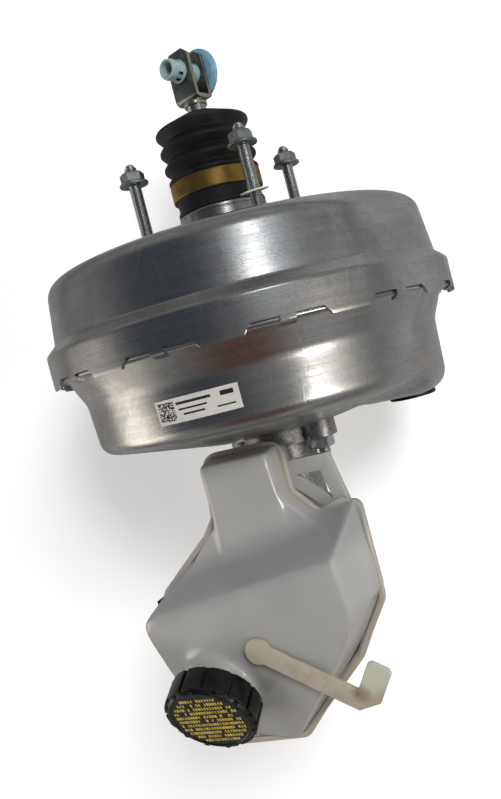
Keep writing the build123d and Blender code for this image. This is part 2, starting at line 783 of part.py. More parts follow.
def poppet_end():
    return poppet_start() + POPPET_LENGTH


def make_poppet_valve():
    start = poppet_start()
    end = poppet_end()
    disc = start + POPPET_DISC
    sleeve = POPPET_SLEEVE_RADIUS - POPPET_WALL
    return turned([(POPPET_INNER, start), (POPPET_RADIUS, start),
                   (POPPET_SLEEVE_RADIUS, start + POPPET_EDGE),
                   (POPPET_SLEEVE_RADIUS, end), (sleeve, end), (sleeve, disc),
                   (POPPET_INNER, disc)])


def make_poppet_retainer():
    outer = VALVE_TUBE_RADIUS - VALVE_WALL - SEATED
    start = poppet_end() + SEATED
    return tube(outer, RETAINER_INNER, start, start + RETAINER_THICKNESS)


def make_poppet_spring():
    low = poppet_start() + POPPET_DISC + SEATED
    return coil(POPPET_SPRING_RADIUS, POPPET_SPRING_WIRE, POPPET_SPRING_TURNS,
                low, poppet_end())


def rod_spring_seat():
    return poppet_end() + SEATED + RETAINER_THICKNESS


def make_rod_spring():
    low = rod_spring_seat() + SEATED
    return coil(ROD_SPRING_RADIUS, ROD_SPRING_WIRE, ROD_SPRING_TURNS,
                low, low + ROD_SPRING_LENGTH)


def make_air_filter():
    outer = VALVE_TUBE_RADIUS - VALVE_WALL - SEATED
    return tube(outer, FILTER_INNER, FILTER_START, FILTER_START + FILTER_LENGTH)


def make_silencer_felt():
    outer = VALVE_TUBE_RADIUS - VALVE_WALL - SEATED
    start = FILTER_START + FILTER_LENGTH + SEATED
    return tube(outer, FILTER_INNER, start, start + FELT_LENGTH)


# --------------------------------------------------------- rod, clevis, boot

def make_input_rod():
    collar = rod_spring_seat() + ROD_SPRING_LENGTH + CLEAR
    base = CLEVIS_BASE
    head = base + CLEVIS_SHEET
    shaft = turned([(0, BALL_PLACE), (ROD_NECK_RADIUS, BALL_PLACE),
                    (ROD_NECK_RADIUS, ROD_NECK_END), (ROD_RADIUS, ROD_NECK_END + ROD_NECK_TAPER),
                    (ROD_RADIUS, collar), (ROD_COLLAR_RADIUS, collar),
                    (ROD_COLLAR_RADIUS, collar + ROD_COLLAR), (ROD_RADIUS, collar + ROD_COLLAR),
                    (ROD_RADIUS, base - ROD_SHOULDER), (ROD_SHOULDER_RADIUS, base - ROD_SHOULDER),
                    (ROD_SHOULDER_RADIUS, base), (ROD_TENON_RADIUS, base),
                    (ROD_TENON_RADIUS, head), (ROD_RIVET_RADIUS, head),
                    (ROD_RIVET_RADIUS - ROD_RIVET_ROUND, head + ROD_RIVET), (0, head + ROD_RIVET)])
    return shaft + Pos(0, BALL_PLACE, 0) * Sphere(BALL_RADIUS)


def turned_fork(shape):
    """Turn a piece of the fork about the rod."""
    return Rot(0, -CLEVIS_TURN, 0) * shape


def make_clevis():
    half = CLEVIS_GAP / 2 + CLEVIS_SHEET
    outline = Plane.YZ * make_face(Polyline((CLEVIS_BASE, -half), (CLEVIS_TOP, -half),
                                            (CLEVIS_TOP, half), (CLEVIS_BASE, half), close=True))
    fork = Pos(-CLEVIS_WIDTH / 2, 0, 0) * extrude(outline, CLEVIS_WIDTH)
    bends = fork.edges().filter_by(Axis.X).group_by(Axis.Y)[0]
    fork = fillet(bends, CLEVIS_BEND)
    slot = block((-CLEVIS_WIDTH, CLEVIS_BASE + CLEVIS_SHEET, -CLEVIS_GAP / 2),
                 (CLEVIS_WIDTH, CLEVIS_TOP + 1, CLEVIS_GAP / 2))
    inner = slot.edges().filter_by(Axis.X).group_by(Axis.Y)[0]
    fork -= fillet(inner, CLEVIS_BEND - CLEVIS_SHEET)
    tips = fork.edges().filter_by(Axis.Z).group_by(Axis.Y)[-1]
    fork = chamfer(tips, CLEVIS_CHAMFER)
    fork -= post(PIN_RADIUS + RUNNING, -2 * half, 2 * half, 0, PIN_PLACE)
    fork -= bar(ROD_TENON_RADIUS, CLEVIS_BASE - 1, CLEVIS_BASE + 2 * CLEVIS_SHEET)
    return turned_fork(fork)


def make_clevis_pin():
    half = CLEVIS_GAP / 2 + CLEVIS_SHEET
    head = -half - CLEAR
    end = half + PIN_STICKOUT
    pin = post(PIN_RADIUS, head, end, 0, PIN_PLACE)
    pin += post(PIN_HEAD_RADIUS, head - PIN_HEAD, head, 0, PIN_PLACE)
    pin += post(PIN_LOCK_RADIUS, half + CLEAR, half + CLEAR + PIN_LOCK, 0, PIN_PLACE)
    pin -= post(PIN_BORE, head, end + 1, 0, PIN_PLACE)
    low = half + CLEAR + PIN_LOCK + PIN_WINDOW_STEP
    for angle in PIN_WINDOW_ANGLES:
        window = Pos(0, 0, low + PIN_WINDOW_LENGTH / 2) * Rot(0, 0, angle) * Box(
            3 * PIN_RADIUS, PIN_WINDOW, PIN_WINDOW_LENGTH)
        pin -= Pos(0, PIN_PLACE, 0) * window
    return turned_fork(pin)


def boot_foot():
    """Outer (radius, y) corners of the boot's foot on the neck, under the band."""
    start = NECK_STEP + CLEAR
    step = start + BOOT_FOOT
    foot = BOOT_SEAT_RADIUS + BOOT_SOCKET_STEP
    neck = BOOT_SEAT_RADIUS - BOOT_NECK_STEP
    return [(foot, start), (foot, step - BOOT_WALL), (neck, step),
            (neck, BAND_PLACE - BOOT_NECK_STEP), (BOOT_SEAT_RADIUS, BAND_PLACE),
            (BOOT_SEAT_RADIUS, BAND_PLACE + BAND_HEIGHT)]


def boot_folds():
    """Outer (radius, y) corners of the boot's disc-shaped folds."""
    line = []
    for lobe in range(BOOT_LOBES):
        crest = BOOT_FIRST_LOBE + lobe * BOOT_LOBE_PITCH
        line.append((BOOT_VALLEY_RADIUS, crest - BOOT_LOBE_PITCH / 2))
        line.append((BOOT_LOBE_RADIUS, crest - BOOT_CREST))
        line.append((BOOT_LOBE_RADIUS, crest + BOOT_CREST))
    return line


def make_boot():
    folds = boot_folds()
    shoulder = BOOT_TOP - BOOT_TOP_DROP
    outer = boot_foot() + folds
    outer += [(BOOT_TOP_RADIUS, shoulder), (ROD_RADIUS + BOOT_TOP_LIP, BOOT_TOP)]
    hole = ROD_RADIUS + CLEAR
    inner = [(hole, BOOT_TOP), (hole, BOOT_TOP - BOOT_WALL),
             (BOOT_TOP_RADIUS, shoulder - BOOT_WALL)]
    crest = folds[-1][1]
    for radius, y in folds[::-1]:
        drop = BOOT_WALL if y == crest else 0
        inner.append((radius - BOOT_WALL, y - drop))
    socket = NECK_TOP_RADIUS + CLEAR
    inner += [(socket, NECK_LENGTH + CLEAR), (socket, NECK_STEP + CLEAR)]
    return turned(outer + inner)


def make_boot_band():
    return tube(BOOT_SEAT_RADIUS + BAND_THICKNESS, BOOT_SEAT_RADIUS + SEATED,
                BAND_PLACE, BAND_PLACE + BAND_HEIGHT)


# ------------------------------------------------------------ master cylinder

def make_cylinder_body():
    face = -FRONT_FACE
    flange = face - CYLINDER_FLANGE
    body = bar(BARREL_RADIUS, -CYLINDER_END, flange)
    body += bar(PILOT_RADIUS, flange, -PILOT_START)
    body += bar(PILOT_RADIUS + 2 * O_RING_WIDTH, flange, face)
    for x, z in cylinder_stud_places():
        body += bar(CYLINDER_BOSS_RADIUS, flange, face, x, z)
    web = Box(2 * CYLINDER_STUD_RING, CYLINDER_FLANGE, 1.5 * CYLINDER_BOSS_RADIUS)
    body += Pos(0, (face + flange) / 2, 0) * Rot(0, -CYLINDER_STUD_ANGLE, 0) * web
    for y in PORT_PLACES:
        body += post(PORT_BOSS_RADIUS, 0, PORT_TOP, 0, -y)
    for y in OUTLET_PLACES:
        body += cross_bar(OUTLET_BOSS_RADIUS, -OUTLET_REACH, 0, -y, 0)
    body += block((-LUG_HALF_WIDTH, -LUG_PLACE - LUG_HALF_LENGTH, 0),
                  (LUG_HALF_WIDTH, -LUG_PLACE + LUG_HALF_LENGTH, PORT_TOP))
    return body - cylinder_cavities()


def cylinder_cavities():
    face = -FRONT_FACE
    flange = face - CYLINDER_FLANGE
    cavity = bar(BORE_RADIUS, -CYLINDER_END + END_WALL, -PILOT_START + 1)
    cavity += bar(GUIDE_RADIUS, -PILOT_START - GUIDE_LENGTH, -PILOT_START + 1)
    cavity += tube(PILOT_RADIUS + O_RING_WIDTH, PILOT_RADIUS, face - O_RING, face + 1)
    for x, z in cylinder_stud_places():
        cavity += bar(STUD_RADIUS, flange - 1, face + 1, x, z)
    for y in PORT_PLACES:
        cavity += post(PORT_RADIUS, PORT_FLOOR, PORT_TOP + 1, 0, -y)
        cavity += post(PORT_HOLE_RADIUS, 0, PORT_TOP, 0, -y)
    for y in OUTLET_PLACES:
        floor = -OUTLET_REACH + OUTLET_DEPTH
        cavity += cross_bar(OUTLET_THREAD_RADIUS, -OUTLET_REACH - 1, floor, -y, 0)
        cavity += cross_bar(OUTLET_HOLE_RADIUS, floor - 1, 0, -y, 0)
    cavity += cross_bar(LUG_PIN_RADIUS, -BARREL_RADIUS, BARREL_RADIUS,
                        -LUG_PLACE, LUG_PIN_HEIGHT)
    cavity += post(STOP_PIN_RADIUS, -BARREL_RADIUS - 1, 0, 0, -STOP_PIN_PLACE)
    return cavity


def make_cylinder_o_ring():
    return tube(PILOT_RADIUS + O_RING_WIDTH - SEATED, PILOT_RADIUS + SEATED,
                -FRONT_FACE - O_RING + SEATED, -FRONT_FACE - SEATED)


def make_guide_ring():
    return tube(GUIDE_RADIUS - SEATED, PISTON_RADIUS + RUNNING,
                -PILOT_START - GUIDE_LENGTH + SEATED, -PILOT_START - SEATED)


def make_front_plate():
    low = -FRONT_FACE + SHEET
    plate = tube(FRONT_PLATE_RADIUS, PILOT_RADIUS + CLEAR, low, low + FRONT_PLATE)
    for x, z in cylinder_stud_places():
        plate -= bar(STUD_RADIUS, low - 1, low + 2 * FRONT_PLATE, x, z)
    return plate


def make_cylinder_studs():
    seat = -FRONT_FACE + SHEET + FRONT_PLATE
    tip = -CYLINDER_STUD_LENGTH
    head = CYLINDER_STUD_HEAD_RADIUS
    point = CYLINDER_STUD_POINT
    stud = turned([(0, seat + STUD_HEAD), (head, seat + STUD_HEAD), (head, seat),
                   (STUD_RADIUS, seat), (STUD_RADIUS, tip + point),
                   (STUD_RADIUS - point, tip), (0, tip)])
    return [Pos(x, 0, z) * stud for x, z in cylinder_stud_places()]


def make_cylinder_nuts():
    nut = Rot(90, 0, 0) * hex_nut(NUT_FLATS, CYLINDER_NUT_HEIGHT, STUD_RADIUS)
    place = -FRONT_FACE - CYLINDER_FLANGE
    return [Pos(x, place, z) * nut for x, z in cylinder_stud_places()]


def piston(rear, front, socket_radius):
    """Plunger with a socket at the rear, a spring recess in front and two seal grooves."""
    body = bar(PISTON_RADIUS, -front, -rear)
    body -= bar(socket_radius, -OUTPUT_END - CLEAR, -rear + 1)
    body -= bar(SPRING_RECESS_RADIUS, -front - 1, -front + SPRING_RECESS)
    for low in seal_places(rear, front):
        body -= tube(PISTON_RADIUS + 1, SEAL_GROOVE_RADIUS, low, low + SEAL_WIDTH)
    return body


def seal_places(rear, front):
    """Lower ends of the two seal grooves."""
    first = -front + SPRING_RECESS + SEAL_INSET
    second = first + 2 * SEAL_WIDTH + SEAL_INSET
    return [first, second]


def seal_ring(low):
    """Rubber ring in a groove that starts at a place on the axis."""
    return tube(PISTON_RADIUS, SEAL_GROOVE_RADIUS + SEATED, low + SEATED,
                low + SEAL_WIDTH - SEATED)


def make_primary_seals():
    return [seal_ring(low) for low in seal_places(PRIMARY_START, PRIMARY_END)]


def make_primary_piston():
    return piston(PRIMARY_START, PRIMARY_END, PRIMARY_SOCKET_RADIUS)


def make_secondary_piston():
    body = bar(PISTON_RADIUS, -SECONDARY_END, -SECONDARY_START)
    body -= bar(SPRING_RECESS_RADIUS, -SECONDARY_END - 1, -SECONDARY_END + SPRING_RECESS)
    width = STOP_PIN_RADIUS + CLEAR
    end = -STOP_PIN_PLACE + SECONDARY_TRAVEL + width
    slot = block((-width, -STOP_PIN_PLACE - width, -PISTON_RADIUS - 1),
                 (width, end, -STOP_PIN_REACH + STOP_PIN_ROOM))
    body -= slot
    for low in secondary_seal_places():
        body -= tube(PISTON_RADIUS + 1, SEAL_GROOVE_RADIUS, low, low + SEAL_WIDTH)
    return body


def secondary_seal_places():
    """Lower ends of the grooves in front of and behind the stop pin's slot."""
    ahead = -STOP_PIN_PLACE - STOP_PIN_RADIUS - SEAL_INSET - SEAL_WIDTH
    return [ahead, -SECONDARY_START - SEAL_WIDTH - SEAL_REAR_INSET]


def make_secondary_seals():
    return [seal_ring(low) for low in secondary_seal_places()]


def make_primary_spring():
    low = -SECONDARY_START + CLEAR
    high = -PRIMARY_END + SPRING_RECESS - CLEAR
    return coil(PISTON_SPRING_RADIUS, PISTON_SPRING_WIRE, PRIMARY_SPRING_TURNS, low, high)


def make_secondary_spring():
    low = -CYLINDER_END + END_WALL + CLEAR
    high = -SECONDARY_END + SPRING_RECESS - CLEAR
    return coil(PISTON_SPRING_RADIUS, PISTON_SPRING_WIRE, SECONDARY_SPRING_TURNS, low, high)


def make_stop_pin():
    low = -BARREL_RADIUS
    pin = post(STOP_PIN_RADIUS, low, -STOP_PIN_REACH, 0, -STOP_PIN_PLACE)
    return pin + post(STOP_PIN_HEAD_RADIUS, low - STOP_PIN_HEAD, low, 0, -STOP_PIN_PLACE)


# ------------------------------------------------------------------ reservoir

def seam_face(inset):
    """Plan outline at the seam, moved in from the edge of the welded lip."""
    corners = [(x, y) for x, y, radius in SEAM_OUTLINE]
    radii = [radius for x, y, radius in SEAM_OUTLINE]
    outline = make_face(FilletPolyline(*corners, radius=radii, close=True))
    return offset(outline, -inset) if inset else outline


def outside(points, inset):
    """Large block on the upper side of the plane through three points."""
    first, second, third = [Vector(*point) for point in points]
    normal = (second - first).cross(third - first)
    if normal.Z < 0:
        normal = normal * -1
    plane = Plane(origin=first, z_dir=normal)
    return plane * (Pos(0, 0, LARGE / 2 - inset) * Box(LARGE, LARGE, LARGE))


def above_hump(inset):
    """Space over the low hump, up to the steep face behind it."""
    lean = math.degrees(math.atan2(HUMP_DROP, HUMP_LENGTH))
    lid = Pos(0, 0, LARGE / 2 - inset) * Box(LARGE, LARGE, LARGE)
    lid = Pos(0, SEAM_FRONT, HUMP_TOP) * Rot(lean, 0, 0) * lid
    return outside(RISE_POINTS, inset) & lid


def tank_top(inset):
    """Upper half of the tank, solid, moved in from its outer faces."""
    face = Pos(0, 0, SEAM_HEIGHT) * seam_face(SEAM_LIP + inset)
    form = extrude(face, TANK_TOP - SEAM_HEIGHT - inset, taper=TANK_DRAFT)
    form -= outside(SLOPE_POINTS, inset)
    form -= outside(FACET_POINTS, inset)
    return form - above_hump(inset)


def filler_frame():
    """Plane of the filler: its Z axis is the axis of the cap."""
    lean = math.radians(FILLER_LEAN)
    return Plane(origin=(FILLER_X, FILLER_Y, FILLER_Z), x_dir=(1, 0, 0),
                 z_dir=(0, -math.sin(lean), math.cos(lean)))


def on_filler(shape, low):
    return filler_frame() * (Pos(0, 0, low) * shape)


def filler_bar(radius, low, high):
    return on_filler(Cylinder(radius, high - low), (low + high) / 2)


def clip_direction():
    dx = CLIP_END[0] - CLIP_START[0]
    dy = CLIP_END[1] - CLIP_START[1]
    length = math.hypot(dx, dy)
    return dx / length, dy / length, length


def make_reservoir_top():
    lip = extrude(Pos(0, 0, SEAM_HEIGHT) * seam_face(0), SEAM_FLANGE)
    outer = tank_top(0) + lip
    neck = filler_bar(FILLER_RADIUS, -FILLER_ROOT, FILLER_RISE)
    thread = FILLER_RISE - THREAD_DROP
    neck += filler_bar(THREAD_RADIUS, thread - THREAD_WIDTH, thread)
    low = SEAM_HEIGHT + TANK_WALL
    neck -= block((-LARGE, -LARGE, -LARGE), (LARGE, 0, low))
    hollow = tank_top(TANK_WALL)
    x, y = CLIP_START
    peg = post(CLIP_PEG_RADIUS + TANK_WALL, CLIP_TOP - CLIP_PEG - TANK_WALL - CLIP_THICKNESS,
               CLIP_TOP - CLIP_THICKNESS, x, y)
    top = outer + neck - hollow + (peg & tank_top(0))
    top -= filler_bar(FILLER_BORE, -2 * FILLER_ROOT, FILLER_RISE + 1)
    top -= post(CLIP_PEG_RADIUS + SEATED, CLIP_TOP - CLIP_PEG - CLIP_THICKNESS,
                CLIP_TOP + 1, x, y)
    return top - clip_clearance()


def clip_clearance():
    """Room above the tank for the strap of the clip."""
    ux, uy, length = clip_direction()
    angle = math.degrees(math.atan2(uy, ux))
    width = CLIP_WIDTH + 2 * CLEAR
    low = CLIP_TOP - CLIP_THICKNESS - SEATED
    half = CLIP_ROOM / 2
    room = Pos(length / 2, 0, half) * Box(length + CLIP_ROOM, width, CLIP_ROOM)
    room += Pos(0, 0, half) * Cylinder(CLIP_EYE_RADIUS + CLEAR, CLIP_ROOM)
    return Pos(CLIP_START[0], CLIP_START[1], low) * Rot(0, 0, angle) * room


def tank_bottom(inset):
    face = Pos(0, 0, SEAM_HEIGHT) * seam_face(SEAM_LIP + inset)
    return extrude(face, -(SEAM_HEIGHT - TANK_FLOOR - inset), taper=TANK_DRAFT)


def make_reservoir_bottom():
    lip = extrude(Pos(0, 0, SEAM_HEIGHT - SEAM_FLANGE) * seam_face(0), SEAM_FLANGE - SEATED)
    shell = tank_bottom(0)
    cut = block((-LARGE, -LARGE, SEAM_HEIGHT - SEATED), (LARGE, 0, TANK_TOP))
    shell = shell + lip - cut
    shell -= tank_bottom(TANK_WALL)
    start = sensor_wall() + TANK_WALL
    floor = TANK_FLOOR + TANK_WALL / 2
    shell += cross_bar(SENSOR_RADIUS + SENSOR_WALL, start, SENSOR_END, SENSOR_Y, SENSOR_Z)
    shell += post(FLOAT_POST_RADIUS, floor, FLOAT_POST_TOP, FLOAT_X, FLOAT_Y)
    for y in PORT_PLACES:
        shell += post(SPIGOT_RADIUS, SPIGOT_END, TANK_FLOOR + TANK_WALL, 0, -y)
        shell += post(SPIGOT_RADIUS + SPIGOT_COLLAR, GROMMET_TOP + SEATED, floor, 0, -y)
        shell -= post(SPIGOT_BORE, SPIGOT_END - 1, TANK_FLOOR + 2 * TANK_WALL, 0, -y)
    ear = LUG_EAR / 2
    for side in (-1, 1):
        x = side * (LUG_HALF_WIDTH + CLEAR + ear)
        shell += block((x - ear, -LUG_PLACE - LUG_HALF_LENGTH, LUG_PIN_HEIGHT - LUG_EAR_DROP),
                       (x + ear, -LUG_PLACE + LUG_HALF_LENGTH, floor))
    shell -= cross_bar(LUG_PIN_RADIUS, -LUG_PIN_LENGTH, LUG_PIN_LENGTH,
                       -LUG_PLACE, LUG_PIN_HEIGHT)
    shell += retaining_frame()
    shell -= cross_bar(SENSOR_RADIUS + SEATED, -LARGE, SENSOR_END - SENSOR_WALL,
                       SENSOR_Y, SENSOR_Z)
    return shell


def retaining_frame():
    """Flat frame with a three-cornered window, beside the hump."""
    outer = make_face(Polyline(*FRAME_OUTER, close=True))
    window = make_face(Polyline(*FRAME_WINDOW, close=True))
    plate = extrude(Pos(0, 0, FRAME_Z) * (outer - window), FRAME_THICKNESS)
    return plate - tank_bottom(TANK_WALL)


def make_reservoir_grommets():
    def ring(y):
        low = PORT_FLOOR + SEATED
        body = post(PORT_RADIUS - SEATED, low, PORT_TOP + SEATED, 0, -y)
        body += post(GROMMET_FLANGE_RADIUS, PORT_TOP + SEATED, GROMMET_TOP, 0, -y)
        body -= post(SPIGOT_RADIUS + SEATED, SPIGOT_END - SEATED, PORT_TOP + 10, 0, -y)
        return body - post(SPIGOT_BORE, 0, PORT_TOP, 0, -y)
    return [ring(y) for y in PORT_PLACES]


def make_reservoir_pin():
    half = LUG_PIN_LENGTH / 2
    return cross_bar(LUG_PIN_RADIUS, -half, half, -LUG_PLACE, LUG_PIN_HEIGHT)


def make_strainer():
    rim = FILLER_RISE + SEATED
    basket = filler_bar(STRAINER_RADIUS, rim - STRAINER_DEPTH, rim)
    basket -= filler_bar(STRAINER_RADIUS - STRAINER_WALL,
                         rim - STRAINER_DEPTH + STRAINER_WALL, rim + 1)
    for index in range(STRAINER_SLOTS // 2):
        angle = 360 * index / STRAINER_SLOTS
        slot = Rot(0, 0, angle) * Box(3 * STRAINER_RADIUS, STRAINER_SLOT_WIDTH,
                                      STRAINER_SLOT_HEIGHT)
        basket -= on_filler(slot, rim - STRAINER_DEPTH + STRAINER_SLOT_PLACE)
    lip = filler_bar(SEAL_DISC_RADIUS - STRAINER_LIP / 4, rim, rim + STRAINER_LIP)
    lip -= filler_bar(STRAINER_RADIUS - STRAINER_WALL, rim - 1, rim + 2)
    return basket + lip


def make_cap_seal():
    low = FILLER_RISE + SEATED + STRAINER_LIP + SEATED
    dish_radius = STRAINER_RADIUS - STRAINER_WALL - SEAL_DISC_PLAY
    disc = filler_bar(SEAL_DISC_RADIUS, low, low + SEAL_DISC)
    disc += filler_bar(dish_radius, low - SEAL_DISC_SPIGOT, low)
    return disc - filler_bar(dish_radius - SEAL_DISC_WALL, low - 2 * SEAL_DISC_SPIGOT,
                             low + SEAL_DISC - SEAL_DISC_WALL)


def make_cap():
    body = filler_bar(CAP_BODY_RADIUS, 0, CAP_HEIGHT)
    tall = CAP_HEIGHT - CAP_RIB_DROP
    rib = Box(CAP_RADIUS, CAP_RIB_WIDTH, tall)
    for index in range(CAP_RIBS):
        angle = 360 * index / CAP_RIBS
        place = Rot(0, 0, angle) * (Pos(CAP_RADIUS / 2, 0, 0) * rib)
        body += on_filler(place, tall / 2)
    body &= filler_bar(CAP_RADIUS, -1, CAP_HEIGHT + 1)
    inner = CAP_HEIGHT - CAP_TOP
    return body - filler_bar(CAP_INNER, -1, inner)


def make_float():
    low = FLOAT_REST
    ring = post(FLOAT_RADIUS, low, low + FLOAT_HEIGHT, FLOAT_X, FLOAT_Y)
    return ring - post(FLOAT_POST_RADIUS + CLEAR, low - 1, low + FLOAT_HEIGHT + 1,
                       FLOAT_X, FLOAT_Y)


def sensor_wall():
    """Place of the tank's side, where the sensor's head stops."""
    return SEAM_LEFT + SEAM_LIP


def make_level_sensor():
    inner = sensor_wall()
    outer = inner - SENSOR_HEAD
    floor = inner - SENSOR_HEAD_FLOOR
    half = SENSOR_HEAD_SIZE / 2
    tall = SENSOR_HEAD_HEIGHT / 2
    wide = half - SENSOR_WALL
    high = tall - SENSOR_WALL
    thick = SENSOR_PIN / 2
    body = cross_bar(SENSOR_RADIUS, floor, SENSOR_END - SENSOR_WALL - SEATED,
                     SENSOR_Y, SENSOR_Z)
    body += block((outer, SENSOR_Y - half, SENSOR_Z - tall),
                  (inner, SENSOR_Y + half, SENSOR_Z + tall))
    body -= block((outer - 1, SENSOR_Y - wide, SENSOR_Z - high),
                  (floor, SENSOR_Y + wide, SENSOR_Z + high))
    for side in (-1, 1):
        y = SENSOR_Y + side * SENSOR_PIN_PLACE
        body += block((outer + SENSOR_PIN_INSET, y - thick, SENSOR_Z - thick),
                      (inner, y + thick, SENSOR_Z + thick))
    return body


def clip_hook(length):
    """Flat hook that stands off to one side at the end of the clip's strap."""
    half = CLIP_WIDTH / 2
    near = length - CLIP_HOOK_OVERLAP
    far = near + CLIP_HOOK_WIDTH
    slant = far - length
    top = half + CLIP_HOOK_REACH
    face = make_face(Polyline((near, -half), (length, -half), (far, slant - half),
                              (far, top), (near, top), close=True))
    hook = extrude(face, CLIP_THICKNESS)
    corners = hook.edges().filter_by(Axis.Z).group_by(Axis.Y)[-1]
    return fillet(corners, CLIP_HOOK_CORNER)


def make_wiring_clip():
    ux, uy, length = clip_direction()
    angle = math.degrees(math.atan2(uy, ux))
    low = CLIP_TOP - CLIP_THICKNESS
    x, y = CLIP_START
    strap = Pos(length / 2, 0, CLIP_THICKNESS / 2) * Box(length, CLIP_WIDTH, CLIP_THICKNESS)
    clip = Pos(x, y, low) * Rot(0, 0, angle) * (strap + clip_hook(length))
    clip += post(CLIP_EYE_RADIUS, low, CLIP_TOP, x, y)
    return clip + post(CLIP_PEG_RADIUS, low - CLIP_PEG + SEATED, low + SEATED, x, y)


# --------------------------------------------------------------------- export

NODES = {
    "rear_shell": make_rear_shell,
    "front_shell": make_front_shell,
    "rear_plate": make_rear_plate,
    "bulkhead_studs": make_bulkhead_studs,
    "flange_nuts": make_flange_nuts,
    "stud_washer": make_stud_washer,
    "neck_seal": make_neck_seal,
    "seal_retainer": make_seal_retainer,
    "diaphragm": make_diaphragm,
    "diaphragm_plate": make_diaphragm_plate,
    "valve_body": make_valve_body,
    "reaction_disc": make_reaction_disc,
    "output_rod": make_output_rod,
    "return_spring": make_return_spring,
    "valve_plunger": make_valve_plunger,
    "valve_key": make_valve_key,
    "poppet_valve": make_poppet_valve,
    "poppet_spring": make_poppet_spring,
    "poppet_retainer": make_poppet_retainer,
    "rod_spring": make_rod_spring,
    "air_filter": make_air_filter,
    "silencer_felt": make_silencer_felt,
    "input_rod": make_input_rod,
    "clevis": make_clevis,
    "clevis_pin": make_clevis_pin,
    "boot": make_boot,
    "boot_band": make_boot_band,
    "front_plate": make_front_plate,
    "cylinder_studs": make_cylinder_studs,
    "cylinder_nuts": make_cylinder_nuts,
    "cylinder_body": make_cylinder_body,
    "cylinder_o_ring": make_cylinder_o_ring,
    "guide_ring": make_guide_ring,
    "primary_piston": make_primary_piston,
    "primary_seals": make_primary_seals,
    "primary_spring": make_primary_spring,
    "secondary_piston": make_secondary_piston,
    "secondary_seals": make_secondary_seals,
    "secondary_spring": make_secondary_spring,
    "stop_pin": make_stop_pin,
    "vacuum_grommet": make_vacuum_grommet,
    "data_label": make_data_label,
    "reservoir_bottom": make_reservoir_bottom,
    "reservoir_top": make_reservoir_top,
    "reservoir_grommets": make_reservoir_grommets,
    "reservoir_pin": make_reservoir_pin,
    "strainer": make_strainer,
    "cap": make_cap,
    "cap_seal": make_cap_seal,
    "float": make_float,
    "level_sensor": make_level_sensor,
    "wiring_clip": make_wiring_clip,
}


def main():
    os.makedirs("parts", exist_ok=True)
    for name, make in NODES.items():
        shape = make()
        if isinstance(shape, list):
            shape = Compound(children=shape)
        export_step(shape, f"parts/{name}.step")


main()
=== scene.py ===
import math

import bmesh
import bpy
from bpy.props import FloatProperty, FloatVectorProperty, IntProperty, PointerProperty
from mathutils import Matrix, Vector


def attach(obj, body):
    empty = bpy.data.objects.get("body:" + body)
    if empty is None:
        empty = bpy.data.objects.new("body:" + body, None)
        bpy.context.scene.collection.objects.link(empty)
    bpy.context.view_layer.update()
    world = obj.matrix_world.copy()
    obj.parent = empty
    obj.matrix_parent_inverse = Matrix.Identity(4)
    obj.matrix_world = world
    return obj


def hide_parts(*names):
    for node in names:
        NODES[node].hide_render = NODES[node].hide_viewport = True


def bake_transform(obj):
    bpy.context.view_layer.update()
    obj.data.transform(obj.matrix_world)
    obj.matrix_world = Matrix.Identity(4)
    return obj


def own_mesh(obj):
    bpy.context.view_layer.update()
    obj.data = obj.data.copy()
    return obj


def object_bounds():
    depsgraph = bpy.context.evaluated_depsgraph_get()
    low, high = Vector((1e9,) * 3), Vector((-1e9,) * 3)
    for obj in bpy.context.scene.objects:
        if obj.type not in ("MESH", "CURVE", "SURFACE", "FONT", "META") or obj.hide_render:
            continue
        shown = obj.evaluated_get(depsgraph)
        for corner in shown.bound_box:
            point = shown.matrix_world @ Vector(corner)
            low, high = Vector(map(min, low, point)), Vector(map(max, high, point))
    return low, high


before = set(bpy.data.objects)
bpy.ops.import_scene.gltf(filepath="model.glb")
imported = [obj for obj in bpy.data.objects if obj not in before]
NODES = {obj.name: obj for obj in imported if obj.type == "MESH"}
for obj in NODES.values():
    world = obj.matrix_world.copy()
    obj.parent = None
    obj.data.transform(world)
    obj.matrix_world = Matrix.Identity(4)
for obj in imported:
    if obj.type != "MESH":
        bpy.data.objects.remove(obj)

bl_info = {
    "name": "Brake booster",
    "version": (1, 0, 0),
    "blender": (4, 5, 0),
    "location": "3D View > Sidebar > Booster",
    "description": "Vacuum brake booster with its master cylinder and fluid tank",
    "category": "Add Mesh",
}

CAD_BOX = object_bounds()
MM = 0.001
STUD_HALF = 37.5
STUD_FOOT = -7.6
STUD_TALL = 68.5
STUD_NUT_SEAT = 48.0
STUD_NUT_TALL = 8.0
STUD_WASHER = Vector((STUD_HALF, 21.0, STUD_HALF))
STUD_WASHER_TILT = math.radians(9.0)
CYLINDER_STUDS = ((29.57, 9.32), (-29.57, -9.32))
CYLINDER_STUD_FOOT = -111.4
CYLINDER_STUD_TALL = 32.1
CYLINDER_NUT_SEAT = -130.0
CYLINDER_NUT_TALL = 7.0
FORK_TURN = math.radians(18.5)
PIN_PLACE = 114.8
PIN_EAR = 7.2
SEAM = 50.0
NECK_RADIUS = 21.0
NECK_BORE = 18.6
CAP_PLACE = Vector((-44.6, -254.9, 85.1))
CAP_HEIGHT = 16.1
CAP_LEAN = math.radians(27.0)
CAP_AXIS = Vector((0.0, -math.sin(CAP_LEAN), math.cos(CAP_LEAN)))


def srgb(red, green, blue):
    """Linear colour with full alpha from display values."""
    return tuple(pow(value, 2.2) for value in (red, green, blue)) + (1.0,)


def length(name, description, default):
    """Size in metres that a user can change."""
    return FloatProperty(name=name, description=description, default=default * MM,
                         unit="LENGTH", precision=5)


def colour(name, description, red, green, blue):
    return FloatVectorProperty(name=name, description=description, subtype="COLOR", size=4,
                               min=0.0, max=1.0, default=srgb(red, green, blue))


def amount(name, description, default):
    return FloatProperty(name=name, description=description, default=default,
                         min=0.0, max=1.0, subtype="FACTOR")


